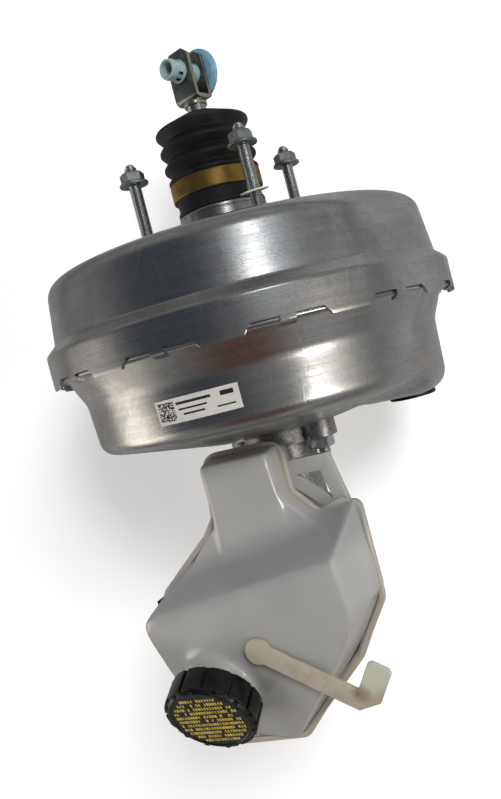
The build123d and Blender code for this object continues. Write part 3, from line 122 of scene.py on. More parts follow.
# ------------------------------------------------------------------- settings

class ShellSettings(bpy.types.PropertyGroup):
    """Pressed metal drum."""
    metal: colour("Metal", "Colour of the bare pressed metal", 0.74, 0.74, 0.735)
    stain: colour("Stain", "Colour of the dull patches on the metal", 0.42, 0.43, 0.46)
    dirt: colour("Dirt", "Colour of the grime in the joints", 0.20, 0.18, 0.15)
    wall: length("Wall", "Thickness of the pressed sheet", 1.6)
    notch_depth: length("Notch depth", "How far the notches cut into the band", 5.1)
    notch_top: FloatProperty(name="Notch top", description="Half angle of a notch at its top",
                             default=math.radians(8.2), subtype="ANGLE")
    notch_foot: FloatProperty(name="Notch foot",
                              description="Half angle of a notch at the edge",
                              default=math.radians(10.2), subtype="ANGLE")
    notch_count: IntProperty(name="Notches", description="Number of crimped places",
                             default=12, min=1)


class FastenerSettings(bpy.types.PropertyGroup):
    """Studs and nuts."""
    zinc: colour("Zinc", "Colour of the plated threads", 0.76, 0.78, 0.78)
    nut: colour("Nut", "Colour of the dull nuts", 0.62, 0.64, 0.65)
    washer: colour("Washer", "Colour of the thin plastic disc", 0.74, 0.74, 0.71)
    radius: length("Thread radius", "Outer radius of the threads", 3.9)
    pitch: length("Pitch", "Pitch of the threads", 1.25)
    depth: length("Thread depth", "Depth of the threads", 0.65)
    flats: length("Across flats", "Size of the nuts across their flats", 13.0)
    flange: length("Flange radius", "Radius of the nut's flange", 8.9)


class BootSettings(bpy.types.PropertyGroup):
    """Rubber boot and its band."""
    rubber: colour("Rubber", "Colour of the rubber", 0.05, 0.05, 0.052)
    dust: colour("Dust", "Colour of the dust on the rubber", 0.24, 0.23, 0.22)
    band: colour("Band", "Colour of the plated band", 0.64, 0.52, 0.29)
    wall: length("Wall", "Thickness of the rubber", 1.5)
    lobe: length("Lobe radius", "Outer radius of the folds", 30.0)
    valley: length("Valley radius", "Radius between the folds", 26.1)


class ForkSettings(bpy.types.PropertyGroup):
    """Clevis, rod and pin."""
    sheet: colour("Sheet", "Colour of the plated sheet", 0.50, 0.50, 0.50)
    edge: colour("Edge", "Colour of the bright cut edges", 0.66, 0.66, 0.58)
    steel: colour("Steel", "Colour of the bright rod", 0.75, 0.75, 0.73)
    pin: colour("Pin", "Colour of the clear blue head", 0.43, 0.60, 0.68)
    sleeve: colour("Sleeve", "Colour of the pin's pale sleeve", 0.56, 0.66, 0.66)


class TankSettings(bpy.types.PropertyGroup):
    """Fluid tank and what is on it."""
    plastic: colour("Plastic", "Colour of the milky plastic", 0.60, 0.595, 0.58)
    shade: colour("Shade", "Colour where the tank is seen through", 0.50, 0.51, 0.52)
    seam: colour("Seam", "Colour of the welded edge", 0.62, 0.575, 0.51)
    arm: colour("Arm", "Colour of the wiring arm", 0.60, 0.57, 0.51)
    cap: colour("Cap", "Colour of the cap", 0.04, 0.042, 0.045)
    print: colour("Print", "Colour of the bars on the cap", 0.70, 0.61, 0.24)
    wall: length("Wall", "Thickness of the tank", 2.2)
    round: length("Rounding", "How far the outer edges are rounded", 5.5)
    hollow: length("Hollow rounding", "How far the inner corners are filled", 11.0)
    cell: length("Cell", "Size of the grid that the tank is cut from", 1.0)


class LabelSettings(bpy.types.PropertyGroup):
    """Sticker on the drum."""
    film: colour("Film", "Colour of the film", 0.66, 0.65, 0.64)
    ink: colour("Ink", "Colour of the marks", 0.12, 0.12, 0.12)
    seed: IntProperty(name="Seed", description="Order of the random squares", default=7)


class StageSettings(bpy.types.PropertyGroup):
    """Camera, lamps and floor."""
    lens: FloatProperty(name="Lens", description="Focal length in millimetres", default=33.58)
    shift_x: FloatProperty(name="Shift X", description="Sideways shift of the lens",
                           default=-0.0546)
    shift_y: FloatProperty(name="Shift Y", description="Upward shift of the lens",
                           default=-0.0135)
    place: FloatVectorProperty(name="Place", description="Where the camera stands",
                               subtype="TRANSLATION", unit="LENGTH", precision=5,
                               default=(0.183873, -0.078963, 0.449066))
    turn: FloatVectorProperty(name="Turn", description="Which way the camera is turned",
                              subtype="EULER",
                              default=[math.radians(value)
                                       for value in (-7.498, 19.207, -15.432)])
    floor: colour("Floor", "Colour of the floor", 0.97, 0.97, 0.97)
    key: FloatProperty(name="Key light", description="Power of the main lamp", default=13.0,
                       unit="POWER")
    fill: FloatProperty(name="Fill light", description="Power of the second lamp", default=5.0,
                        unit="POWER")
    glint: FloatProperty(name="Glint", description="Power of the small lamp", default=2.2,
                         unit="POWER")
    world: amount("World", "Strength of the light from all round", 0.80)


SETTINGS = {
    "booster_shell": ShellSettings,
    "booster_fastener": FastenerSettings,
    "booster_boot": BootSettings,
    "booster_fork": ForkSettings,
    "booster_tank": TankSettings,
    "booster_label": LabelSettings,
    "booster_stage": StageSettings,
}


# --------------------------------------------------------------- mesh helpers

def rounded_line(points, radii, turn=7.0):
    """Line of (radius, y) points whose inner corners are arcs."""
    line = [Vector(points[0])]
    for before, corner, after, radius in zip(points, points[1:], points[2:], radii):
        corner = Vector(corner)
        back = (Vector(before) - corner).normalized()
        ahead = (Vector(after) - corner).normalized()
        half = back.angle(ahead) / 2
        if radius <= 0 or half > math.radians(89.9):
            line.append(corner)
            continue
        centre = corner + (back + ahead).normalized() * radius / math.sin(half)
        start = corner + back * radius / math.tan(half) - centre
        sweep = math.pi - 2 * half
        if back.x * ahead.y - back.y * ahead.x > 0:
            sweep = -sweep
        steps = max(2, math.ceil(abs(math.degrees(sweep)) / turn))
        for index in range(steps + 1):
            angle = sweep * index / steps
            cosine, sine = math.cos(angle), math.sin(angle)
            line.append(centre + Vector((start.x * cosine - start.y * sine,
                                         start.x * sine + start.y * cosine)))
    line.append(Vector(points[-1]))
    return line


def side_line(line, distance):
    """The same line moved to its right by a distance."""
    moved = []
    for index, point in enumerate(line):
        before = line[max(index - 1, 0)]
        after = line[min(index + 1, len(line) - 1)]
        first = point - before if index else after - point
        second = after - point if index < len(line) - 1 else first
        first, second = first.normalized(), second.normalized()
        middle = (first + second).normalized()
        normal = Vector((middle.y, -middle.x))
        stretch = max(0.5, normal.dot(Vector((first.y, -first.x))))
        moved.append(point + normal * distance / stretch)
    return moved


def dense(line, step):
    """The same line with points no further apart than a step."""
    result = [line[0]]
    for start, end in zip(line, line[1:]):
        count = max(1, math.ceil((end - start).length / step))
        result += [start.lerp(end, index / count) for index in range(1, count + 1)]
    return result


def even_angles(count):
    return [2 * math.pi * index / count for index in range(count)]


def lathe(outline, angles, change=None):
    """Closed outline of (radius, y) in millimetres turned about the Y axis."""
    form = bmesh.new()
    rings = []
    for angle in angles:
        ring = []
        for radius, y in outline:
            if change:
                radius, y = change(radius, y, angle)
            place = Vector((radius * math.cos(angle), y, radius * math.sin(angle)))
            ring.append(form.verts.new(place * MM))
        rings.append(ring)
    for first, second in zip(rings, rings[1:] + rings[:1]):
        for index in range(len(outline)):
            after = (index + 1) % len(outline)
            form.faces.new((first[index], first[after], second[after], second[index]))
    bmesh.ops.remove_doubles(form, verts=form.verts, dist=1e-6)
    bmesh.ops.recalc_face_normals(form, faces=form.faces)
    return form


def prism(outline, low, high):
    """Closed plan of (x, y) in millimetres raised from one height to another."""
    form = bmesh.new()
    lower = [form.verts.new(Vector((x, y, low)) * MM) for x, y in outline]
    upper = [form.verts.new(Vector((x, y, high)) * MM) for x, y in outline]
    form.faces.new(lower[::-1])
    form.faces.new(upper)
    for index in range(len(outline)):
        after = (index + 1) % len(outline)
        form.faces.new((lower[index], lower[after], upper[after], upper[index]))
    bmesh.ops.recalc_face_normals(form, faces=form.faces)
    return form


def node_form(node):
    """Merged copy of a packed node's mesh."""
    form = bmesh.new()
    form.from_mesh(NODES[node].data)
    bmesh.ops.remove_doubles(form, verts=form.verts, dist=2e-6)
    bmesh.ops.recalc_face_normals(form, faces=form.faces)
    return form


def flat_form(node):
    """Copy of a packed node's mesh with the triangles of each flat face joined."""
    form = node_form(node)
    bmesh.ops.dissolve_limit(form, angle_limit=math.radians(1.0), verts=form.verts,
                             edges=form.edges)
    return form


def new_piece(name, forms, materials, sharp=35.0):
    """Object made of one or more forms, smooth apart from its sharp edges."""
    mesh = bpy.data.meshes.new(name)
    whole = bmesh.new()
    for form in forms:
        part = bpy.data.meshes.new("part")
        form.to_mesh(part)
        whole.from_mesh(part)
        form.free()
        bpy.data.meshes.remove(part)
    whole.to_mesh(mesh)
    whole.free()
    for material in materials:
        mesh.materials.append(material)
    piece = bpy.data.objects.new(name, mesh)
    bpy.context.scene.collection.objects.link(piece)
    smooth(piece, sharp)
    return piece


def smooth(piece, sharp=35.0):
    piece.data.shade_smooth()
    piece.data.set_sharp_from_angle(angle=math.radians(sharp))


def bake(piece, sharp=35.0):
    """Turn a piece's modifiers into plain mesh."""
    graph = bpy.context.evaluated_depsgraph_get()
    mesh = bpy.data.meshes.new_from_object(piece.evaluated_get(graph))
    piece.modifiers.clear()
    piece.data = mesh
    smooth(piece, sharp)
    return piece


def bevel(piece, width, segments=2, angle=30.0):
    """Rounded edges, as plain mesh."""
    change = piece.modifiers.new("Edges", "BEVEL")
    change.width = width * MM
    change.segments = segments
    change.limit_method = "ANGLE"
    change.angle_limit = math.radians(angle)
    change.use_clamp_overlap = True
    return bake(piece)


def place(piece, matrix):
    """Put a matrix into the piece's mesh."""
    piece.data.transform(matrix)
    return piece


def fit(piece, body, node):
    """Let a piece stand for a node on its body."""
    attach(piece, body)
    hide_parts(*([node] if isinstance(node, str) else node))


def about_fork():
    """Turn from the fork's own square position to its place on the rod."""
    return Matrix.Rotation(-FORK_TURN, 4, "Y")


def cap_matrix():
    """From a cap drawn along Z to its place on the filler."""
    return Matrix.Translation(CAP_PLACE * MM) @ Matrix.Rotation(CAP_LEAN, 4, "X")


# --------------------------------------------------------------- node helpers

def feed(tree, node, inputs):
    """Give a node its inputs: values or other nodes' outputs."""
    for key, value in inputs.items():
        if isinstance(value, bpy.types.NodeSocket):
            tree.links.new(value, node.inputs[key])
        else:
            node.inputs[key].default_value = value


def add(tree, kind, settings=None, inputs=None):
    """Add a node with its settings and inputs."""
    made = tree.nodes.new(kind)
    for key, value in (settings or {}).items():
        setattr(made, key, value)
    feed(tree, made, inputs or {})
    return made


def calc(tree, operation, *values):
    made = add(tree, "ShaderNodeMath", {"operation": operation}, dict(enumerate(values)))
    return made.outputs[0]


def vector(tree, operation, *values):
    made = add(tree, "ShaderNodeVectorMath", {"operation": operation}, dict(enumerate(values)))
    return made.outputs["Value" if operation in ("DOT_PRODUCT", "LENGTH") else "Vector"]


def remap(tree, value, start, end, low=0.0, high=1.0, smooth=False):
    """Value moved from start and end to low and high, and held beyond them."""
    kind = "SMOOTHSTEP" if smooth else "LINEAR"
    return add(tree, "ShaderNodeMapRange", {"interpolation_type": kind}, {
        "Value": value, "From Min": start, "From Max": end, "To Min": low,
        "To Max": high}).outputs[0]


def xyz(tree, x=0.0, y=0.0, z=0.0):
    return add(tree, "ShaderNodeCombineXYZ", inputs={0: x, 1: y, 2: z}).outputs[0]


def new_tree(name, sizes):
    """Geometry tree with named inputs, given as label: (socket kind, default)."""
    tree = bpy.data.node_groups.new(name, "GeometryNodeTree")
    face = tree.interface
    face.new_socket("Geometry", in_out="INPUT", socket_type="NodeSocketGeometry")
    for label, (kind, default) in sizes.items():
        socket = face.new_socket(label, in_out="INPUT", socket_type="NodeSocket" + kind)
        if default is not None:
            socket.default_value = default
    face.new_socket("Geometry", in_out="OUTPUT", socket_type="NodeSocketGeometry")
    return tree, tree.nodes.new("NodeGroupInput").outputs


def close_tree(tree, geometry, material):
    """Finish a tree with Realize Instances and Set Material."""
    real = add(tree, "GeometryNodeRealizeInstances", inputs={0: geometry})
    painted = add(tree, "GeometryNodeSetMaterial",
                  inputs={"Geometry": real.outputs[0], "Material": material})
    end = tree.nodes.new("NodeGroupOutput")
    tree.links.new(painted.outputs[0], end.inputs[0])
    return tree


def grow(name, form, tree, values, sharp=35.0):
    """Run a geometry tree on a form and keep the result as plain mesh."""
    piece = new_piece(name, [form], [])
    change = piece.modifiers.new("Nodes", "NODES")
    for item in tree.interface.items_tree:
        if item.in_out == "INPUT" and item.name in values:
            change[item.identifier] = values[item.name]
    change.node_group = tree
    for item in tree.interface.items_tree:
        if item.in_out == "INPUT" and item.name in values:
            change[item.identifier] = values[item.name]
    return bake(piece, sharp)


def points_form(places):
    """Loose points in millimetres."""
    form = bmesh.new()
    for point in places:
        form.verts.new(Vector(point) * MM)
    return form


def thread_tree():
    """Threaded rods along Y, one at each point."""
    tree, given = new_tree("threaded rods", {
        "Radius": ("Float", 0.004), "Depth": ("Float", 0.0006), "Pitch": ("Float", 0.00125),
        "Length": ("Float", 0.06), "Rows": ("Int", 300), "Sides": ("Int", 28),
        "Point": ("Float", 0.003), "Turn": ("Vector", (0.0, 0.0, 0.0)),
        "Material": ("Material", None)})
    rod = add(tree, "GeometryNodeMeshCylinder", inputs={
        "Vertices": given["Sides"], "Side Segments": given["Rows"],
        "Radius": given["Radius"], "Depth": given["Length"]})
    position = add(tree, "GeometryNodeInputPosition").outputs[0]
    parts = add(tree, "ShaderNodeSeparateXYZ", inputs={0: position}).outputs
    turns = calc(tree, "DIVIDE", calc(tree, "ARCTAN2", parts[1], parts[0]), 2 * math.pi)
    phase = calc(tree, "FRACT", calc(tree, "ADD", calc(tree, "DIVIDE", parts[2],
                                                         given["Pitch"]), turns))
    ridge = calc(tree, "ABSOLUTE",
                 calc(tree, "SUBTRACT", calc(tree, "MULTIPLY", phase, 2.0), 1.0))
    groove = calc(tree, "SMOOTH_MIN", calc(tree, "MULTIPLY", ridge, 1.15), 0.96, 0.15)
    cut = calc(tree, "MULTIPLY", groove, given["Depth"])
    end = calc(tree, "SUBTRACT", calc(tree, "MULTIPLY", given["Length"], 0.5), parts[2])
    point = remap(tree, end, 0.0, given["Point"], 0.55, 1.0)
    narrow = calc(tree, "SUBTRACT", given["Radius"], cut)
    scale = calc(tree, "MULTIPLY", calc(tree, "DIVIDE", narrow, given["Radius"]), point)
    moved = xyz(tree, calc(tree, "MULTIPLY", parts[0], scale),
                calc(tree, "MULTIPLY", parts[1], scale), parts[2])
    shaped = add(tree, "GeometryNodeSetPosition", inputs={
        "Geometry": rod.outputs["Mesh"], "Position": moved})
    lift = xyz(tree, 0.0, calc(tree, "MULTIPLY", given["Length"], 0.5), 0.0)
    upright = add(tree, "GeometryNodeTransform", inputs={
        "Geometry": shaped.outputs[0], "Rotation": (-math.pi / 2, 0.0, 0.0),
        "Translation": lift})
    copies = add(tree, "GeometryNodeInstanceOnPoints", inputs={
        "Points": given["Geometry"], "Instance": upright.outputs[0],
        "Rotation": given["Turn"]})
    return close_tree(tree, copies.outputs[0], given["Material"])


def copies_tree():
    """Copies of an object at points, each with its own turn about Y."""
    tree, given = new_tree("copies at points", {
        "Object": ("Object", None), "Seed": ("Int", 3), "Flip": ("Float", 0.0),
        "Material": ("Material", None)})
    model = add(tree, "GeometryNodeObjectInfo", inputs={"Object": given["Object"]})
    turn = add(tree, "FunctionNodeRandomValue", {"data_type": "FLOAT"}, {
        2: 0.0, 3: math.pi / 3, "Seed": given["Seed"]})
    spin = xyz(tree, given["Flip"], turn.outputs[1], 0.0)
    copies = add(tree, "GeometryNodeInstanceOnPoints", inputs={
        "Points": given["Geometry"], "Instance": model.outputs["Geometry"], "Rotation": spin})
    return close_tree(tree, copies.outputs[0], given["Material"])


def around_tree():
    """Copies of the given mesh all round the Y axis."""
    tree, given = new_tree("copies all round", {
        "Count": ("Int", 12), "Material": ("Material", None)})
    line = add(tree, "GeometryNodePoints", inputs={"Count": given["Count"]})
    index = add(tree, "GeometryNodeInputIndex").outputs[0]
    angle = calc(tree, "MULTIPLY", calc(tree, "DIVIDE", index, given["Count"]), 2 * math.pi)
    copies = add(tree, "GeometryNodeInstanceOnPoints", inputs={
        "Points": line.outputs[0], "Instance": given["Geometry"],
        "Rotation": xyz(tree, 0.0, angle, 0.0)})
    return close_tree(tree, copies.outputs[0], given["Material"])


def print_tree():
    """Rows of short bars of random length on a flat round face."""
    tree, given = new_tree("printed bars", {
        "Radius": ("Float", 0.022), "Row pitch": ("Float", 0.0035), "Rows": ("Int", 13),
        "Columns": ("Int", 25), "Height": ("Float", 0.0021), "Thickness": ("Float", 0.0002),
        "Seed": ("Int", 5), "Keep": ("Float", 0.86), "Material": ("Material", None)})
    reach = calc(tree, "MULTIPLY", given["Radius"], 2.0)
    tall = calc(tree, "MULTIPLY", given["Row pitch"],
                calc(tree, "SUBTRACT", given["Rows"], 1.0))
    grid = add(tree, "GeometryNodeMeshGrid", inputs={
        "Size X": reach, "Size Y": tall, "Vertices X": given["Columns"],
        "Vertices Y": given["Rows"]})
    place_of = add(tree, "GeometryNodeInputPosition").outputs[0]
    inside = calc(tree, "LESS_THAN", vector(tree, "LENGTH", place_of), given["Radius"])
    chance = add(tree, "FunctionNodeRandomValue", {"data_type": "FLOAT"}, {
        2: 0.0, 3: 1.0, "Seed": given["Seed"]})
    kept = calc(tree, "MULTIPLY", inside,
                calc(tree, "LESS_THAN", chance.outputs[1], given["Keep"]))
    points = add(tree, "GeometryNodeMeshToPoints", inputs={
        "Mesh": grid.outputs["Mesh"], "Selection": kept})
    column = calc(tree, "DIVIDE", reach, given["Columns"])
    bar = add(tree, "GeometryNodeMeshCube", inputs={
        "Size": xyz(tree, column, given["Height"], given["Thickness"])})
    wide = add(tree, "FunctionNodeRandomValue", {"data_type": "FLOAT"}, {
        2: 0.35, 3: 0.90, "Seed": calc(tree, "ADD", given["Seed"], 1.0)})
    copies = add(tree, "GeometryNodeInstanceOnPoints", inputs={
        "Points": points.outputs[0], "Instance": bar.outputs["Mesh"],
        "Scale": xyz(tree, wide.outputs[1], 1.0, 1.0)})
    return close_tree(tree, copies.outputs[0], given["Material"])


def wrap_tree():
    """Bend a flat piece in the XY plane round the drum, with X along the wall."""
    tree, given = new_tree("wrap round the drum", {
        "Radius": ("Float", 0.1129), "Slope": ("Float", 0.05), "Angle": ("Float", 1.5),
        "Height": ("Float", -0.0895), "Material": ("Material", None)})
    parts = add(tree, "ShaderNodeSeparateXYZ", inputs={
        0: add(tree, "GeometryNodeInputPosition").outputs[0]}).outputs
    angle = calc(tree, "SUBTRACT", given["Angle"], calc(tree, "DIVIDE", parts[0],
                                                         given["Radius"]))
    radius = calc(tree, "ADD", calc(tree, "ADD", given["Radius"], parts[2]),
                  calc(tree, "MULTIPLY", parts[1], given["Slope"]))
    bent = xyz(tree, calc(tree, "MULTIPLY", radius, calc(tree, "COSINE", angle)),
               calc(tree, "ADD", parts[1], given["Height"]),
               calc(tree, "MULTIPLY", radius, calc(tree, "SINE", angle)))
    moved = add(tree, "GeometryNodeSetPosition", inputs={
        "Geometry": given["Geometry"], "Position": bent})
    return close_tree(tree, moved.outputs[0], given["Material"])


def squares_tree():
    """Block of random small squares."""
    tree, given = new_tree("random squares", {
        "Size": ("Float", 0.0095), "Count": ("Int", 18), "Thickness": ("Float", 0.00012),
        "Seed": ("Int", 7), "Material": ("Material", None)})
    grid = add(tree, "GeometryNodeMeshGrid", inputs={
        "Size X": given["Size"], "Size Y": given["Size"], "Vertices X": given["Count"],
        "Vertices Y": given["Count"]})
    chance = add(tree, "FunctionNodeRandomValue", {"data_type": "FLOAT"}, {
        2: 0.0, 3: 1.0, "Seed": given["Seed"]})
    points = add(tree, "GeometryNodeMeshToPoints", inputs={
        "Mesh": grid.outputs["Mesh"],
        "Selection": calc(tree, "LESS_THAN", chance.outputs[1], 0.52)})
    side = calc(tree, "DIVIDE", given["Size"], given["Count"])
    square = add(tree, "GeometryNodeMeshCube", inputs={
        "Size": xyz(tree, side, side, given["Thickness"])})
    copies = add(tree, "GeometryNodeInstanceOnPoints", inputs={
        "Points": points.outputs[0], "Instance": square.outputs["Mesh"]})
    return close_tree(tree, copies.outputs[0], given["Material"])


# ------------------------------------------------------------------ materials

def new_material(name):
    """Material with its tree, shader and the object's own coordinates."""
    material = bpy.data.materials.new(name)
    material.use_nodes = True
    tree = material.node_tree
    shader = tree.nodes["Principled BSDF"]
    place_of = add(tree, "ShaderNodeTexCoord").outputs["Object"]
    return material, tree, shader, place_of


def noise(tree, place_of, scale, detail=3.0, roughness=0.55, distortion=0.0, stretch=None):
    """Noise between 0 and 1; stretch scales the pattern along the axes."""
    if stretch:
        place_of = add(tree, "ShaderNodeMapping", inputs={
            "Vector": place_of, "Scale": stretch}).outputs[0]
    made = add(tree, "ShaderNodeTexNoise", inputs={
        "Vector": place_of, "Scale": scale, "Detail": detail, "Roughness": roughness,
        "Distortion": distortion})
    return made.outputs["Fac"]


def ramp(tree, value, *stops):
    """Steps of colour or grey: (place, value) or (place, colour)."""
    made = add(tree, "ShaderNodeValToRGB", inputs={"Fac": value})
    steps = made.color_ramp.elements
    while len(steps) < len(stops):
        steps.new(0.5)
    for step, (where, what) in zip(steps, stops):
        step.position = where
        step.color = what if isinstance(what, tuple) else (what, what, what, 1.0)
    return made.outputs["Color"]


def blend(tree, factor, first, second):
    """Mix of two colours."""
    made = add(tree, "ShaderNodeMix", {"data_type": "RGBA"},
               {"Factor": factor, 6: first, 7: second})
    return made.outputs[2]


def over(tree, base, top, mask, share):
    """Top colour laid over a base, as far as mask times share."""
    return blend(tree, calc(tree, "MULTIPLY", mask, share), base, top)


def lift(tree, low, mask, share):
    """Low value raised by a mask times its share."""
    return calc(tree, "ADD", low, calc(tree, "MULTIPLY", mask, share))


def shade(tone, factor, more=0.0):
    """Darker or paler form of a colour, with full alpha."""
    return tuple(min(1.0, value * factor + more) for value in tone[:3]) + (1.0,)


def bump(tree, shader, height, strength, distance):
    made = add(tree, "ShaderNodeBump", inputs={
        "Height": height, "Strength": strength, "Distance": distance})
    tree.links.new(made.outputs[0], shader.inputs["Normal"])


def polar(tree, place_of, around, along, outward):
    """Coordinates that run round, along and out from the Y axis."""
    parts = add(tree, "ShaderNodeSeparateXYZ", inputs={0: place_of}).outputs
    radius = calc(tree, "SQRT", calc(tree, "ADD", calc(tree, "MULTIPLY", parts[0], parts[0]),
                                     calc(tree, "MULTIPLY", parts[2], parts[2])))
    angle = calc(tree, "ARCTAN2", parts[2], parts[0])
    wave = xyz(tree, calc(tree, "MULTIPLY", calc(tree, "COSINE", angle), around),
               calc(tree, "MULTIPLY", parts[1], along),
               calc(tree, "MULTIPLY", calc(tree, "SINE", angle), around))
    return vector(tree, "ADD", wave,
                  xyz(tree, 0.0, calc(tree, "MULTIPLY", radius, outward), 0.0))


def shell_metal(name, settings, warm):
    """Bare pressed metal, brushed round the axis, with stains and scratches."""
    material, tree, shader, place_of = new_material(name)
    fine = polar(tree, place_of, 1.6, 2600.0, 2600.0)
    coarse = polar(tree, place_of, 1.1, 330.0, 330.0)
    lines = noise(tree, fine, 1.0, 2.0, 0.6)
    bands = noise(tree, coarse, 1.0, 3.0, 0.6)
    streaks = noise(tree, place_of, 900.0, 2.0, 0.5, stretch=(1.0, 0.045, 1.0))
    clouds = noise(tree, place_of, 17.0, 4.0, 0.6, 0.6)
    blots = noise(tree, place_of, 62.0, 5.0, 0.7, 0.8)
    grain = noise(tree, place_of, 620.0, 4.0, 0.7)
    stained = ramp(tree, clouds, (0.40, 0.0), (0.66, 1.0))
    base = over(tree, settings.metal, settings.stain, stained, 0.55)
    for mask, low, high, share, colour_of in (
            (bands, 0.35, 0.7, 0.28, srgb(0.52, 0.51, 0.50)),
            (blots, 0.60, 0.70, 0.30, warm),
            (grain, 0.48, 0.66, 0.30, srgb(0.46, 0.45, 0.44))):
        base = over(tree, base, colour_of, ramp(tree, mask, (low, 0.0), (high, 1.0)), share)
    turned = add(tree, "ShaderNodeMapping", inputs={
        "Vector": place_of, "Rotation": (0.3, 0.9, 0.5), "Scale": (1.0, 0.22, 0.6)})
    scratch = add(tree, "ShaderNodeTexVoronoi", {"feature": "DISTANCE_TO_EDGE"}, {
        "Vector": turned.outputs[0], "Scale": 34.0})
    thin = ramp(tree, scratch.outputs["Distance"], (0.0, 1.0), (0.006, 0.0))
    patchy = calc(tree, "MULTIPLY", thin, ramp(tree, noise(tree, place_of, 40.0, 2.0),
                                               (0.52, 0.0), (0.6, 1.0)))
    base = over(tree, base, srgb(0.88, 0.87, 0.85), patchy, 0.2)
    rough = 0.15
    for mask, share in ((stained, 0.14), (lines, 0.16), (patchy, 0.12)):
        rough = lift(tree, rough, mask, share)
    feed(tree, shader, {"Base Color": base, "Metallic": 1.0, "Roughness": rough})
    height = calc(tree, "MULTIPLY", lines, 0.5)
    for mask, share in ((bands, 1.3), (streaks, 0.25), (patchy, -0.25),
                        (noise(tree, place_of, 26.0), 3.0)):
        height = lift(tree, height, mask, share)
    bump(tree, shader, height, 0.35, 0.00012)
    return material


def plated(name, tone, rough=0.32, grain=0.00004, spots=None, scale=420.0, patch=0.8):
    """Plated or turned metal with fine grain and dull spots."""
    material, tree, shader, place_of = new_material(name)
    fine = noise(tree, place_of, scale, 4.0, 0.65)
    broad = noise(tree, place_of, 90.0, 3.0, 0.6)
    base = blend(tree, ramp(tree, broad, (0.42, 0.0), (0.72, patch)), tone, shade(tone, 0.45))
    if spots:
        mottled = noise(tree, place_of, 240.0, 4.0, 0.7, 0.7)
        base = blend(tree, ramp(tree, mottled, (0.58, 0.0), (0.68, 0.8)), base, spots)
    feed(tree, shader, {"Base Color": base, "Metallic": 1.0,
                        "Roughness": lift(tree, rough - 0.08, fine, 0.24)})
    bump(tree, shader, fine, 0.4, grain)
    return material


def cast_metal(name, tone):
    """Rough sand-cast metal with dark grime in its pores."""
    material, tree, shader, place_of = new_material(name)
    sand = noise(tree, place_of, 700.0, 5.0, 0.75)
    lumps = noise(tree, place_of, 110.0, 4.0, 0.65, 0.5)
    grime = ramp(tree, noise(tree, place_of, 55.0, 5.0, 0.7, 0.4), (0.45, 0.0), (0.68, 1.0))
    base = blend(tree, ramp(tree, sand, (0.35, 0.8), (0.6, 0.0)), tone, srgb(0.34, 0.33, 0.32))
    base = over(tree, base, srgb(0.24, 0.21, 0.19), grime, 0.6)
    feed(tree, shader, {"Base Color": base, "Metallic": 0.85,
                        "Roughness": lift(tree, 0.32, grime, 0.3)})
    bump(tree, shader, lift(tree, sand, lumps, 2.0), 0.7, 0.0002)
    return material


def rubber(name, tone, dust, amount_of_dust=0.5):
    """Moulded rubber with dust on it."""
    material, tree, shader, place_of = new_material(name)
    fine = noise(tree, place_of, 1500.0, 3.0, 0.6)
    wipe = noise(tree, place_of, 38.0, 5.0, 0.7, 0.6)
    powder = ramp(tree, wipe, (0.38, 0.0), (0.78, 1.0))
    speck = ramp(tree, noise(tree, place_of, 760.0, 2.0, 0.5), (0.70, 0.0), (0.76, 1.0))
    base = over(tree, tone, dust, lift(tree, powder, speck, 0.7), amount_of_dust)
    feed(tree, shader, {"Base Color": base, "Specular IOR Level": 0.4,
                        "Roughness": lift(tree, 0.46, powder, 0.25)})
    bump(tree, shader, lift(tree, fine, wipe, 1.5), 0.25, 0.0001)
    return material


def moulded(name, tone, rough=0.42, grain=0.00003, stain=None, spread=0.5, scale=60.0):
    """Moulded plastic with faint flow marks and an optional stain."""
    material, tree, shader, place_of = new_material(name)
    flow = noise(tree, place_of, 45.0, 4.0, 0.55, 1.2)
    fine = noise(tree, place_of, 1300.0, 3.0, 0.6)
    base = blend(tree, flow, tone, shade(tone, 1.18))
    if stain:
        dirty = noise(tree, place_of, scale, 6.0, 0.72, 0.5)
        base = over(tree, base, stain, ramp(tree, dirty, (0.45, 0.0), (0.72, 1.0)), spread)
    feed(tree, shader, {"Base Color": base,
                        "Roughness": lift(tree, rough - 0.06, flow, 0.14)})
    bump(tree, shader, lift(tree, fine, flow, 2.0), 0.3, grain)
    return material


def arm_plastic(name, tone, hook):
    """Beige plastic with a painted highlight at the hook, and brown dirt in the bend."""
    material, tree, shader, place_of = new_material(name)
    x, y, _ = add(tree, "ShaderNodeSeparateXYZ", inputs={0: place_of}).outputs
    flow = noise(tree, place_of, 45.0, 4.0, 0.55, 1.2)
    dirty = noise(tree, place_of, 75.0, 6.0, 0.72, 0.5)
    base = over(tree, tone, srgb(0.46, 0.36, 0.26),
                ramp(tree, dirty, (0.45, 0.0), (0.72, 1.0)), 0.45)
    # Painted highlight: the hook end is made paler, standing in for the light on its turned-up
    # face.
    far = remap(tree, y, -0.262, -0.255)
    near = remap(tree, x, 0.036, 0.041)
    base = over(tree, base, hook, far, near)
    across = calc(tree, "POWER", calc(tree, "SUBTRACT", x, 0.043), 2.0)
    along = calc(tree, "POWER", calc(tree, "ADD", y, 0.258), 2.0)
    bend = remap(tree, calc(tree, "ADD", across, along), 0.0, 0.00004, 0.9, 0.0)
    base = over(tree, base, srgb(0.36, 0.27, 0.17), bend,
                ramp(tree, dirty, (0.35, 0.3), (0.6, 1.0)))
    feed(tree, shader, {"Base Color": base, "Roughness": lift(tree, 0.39, flow, 0.14)})
    bump(tree, shader, flow, 0.3, 0.00006)
    return material


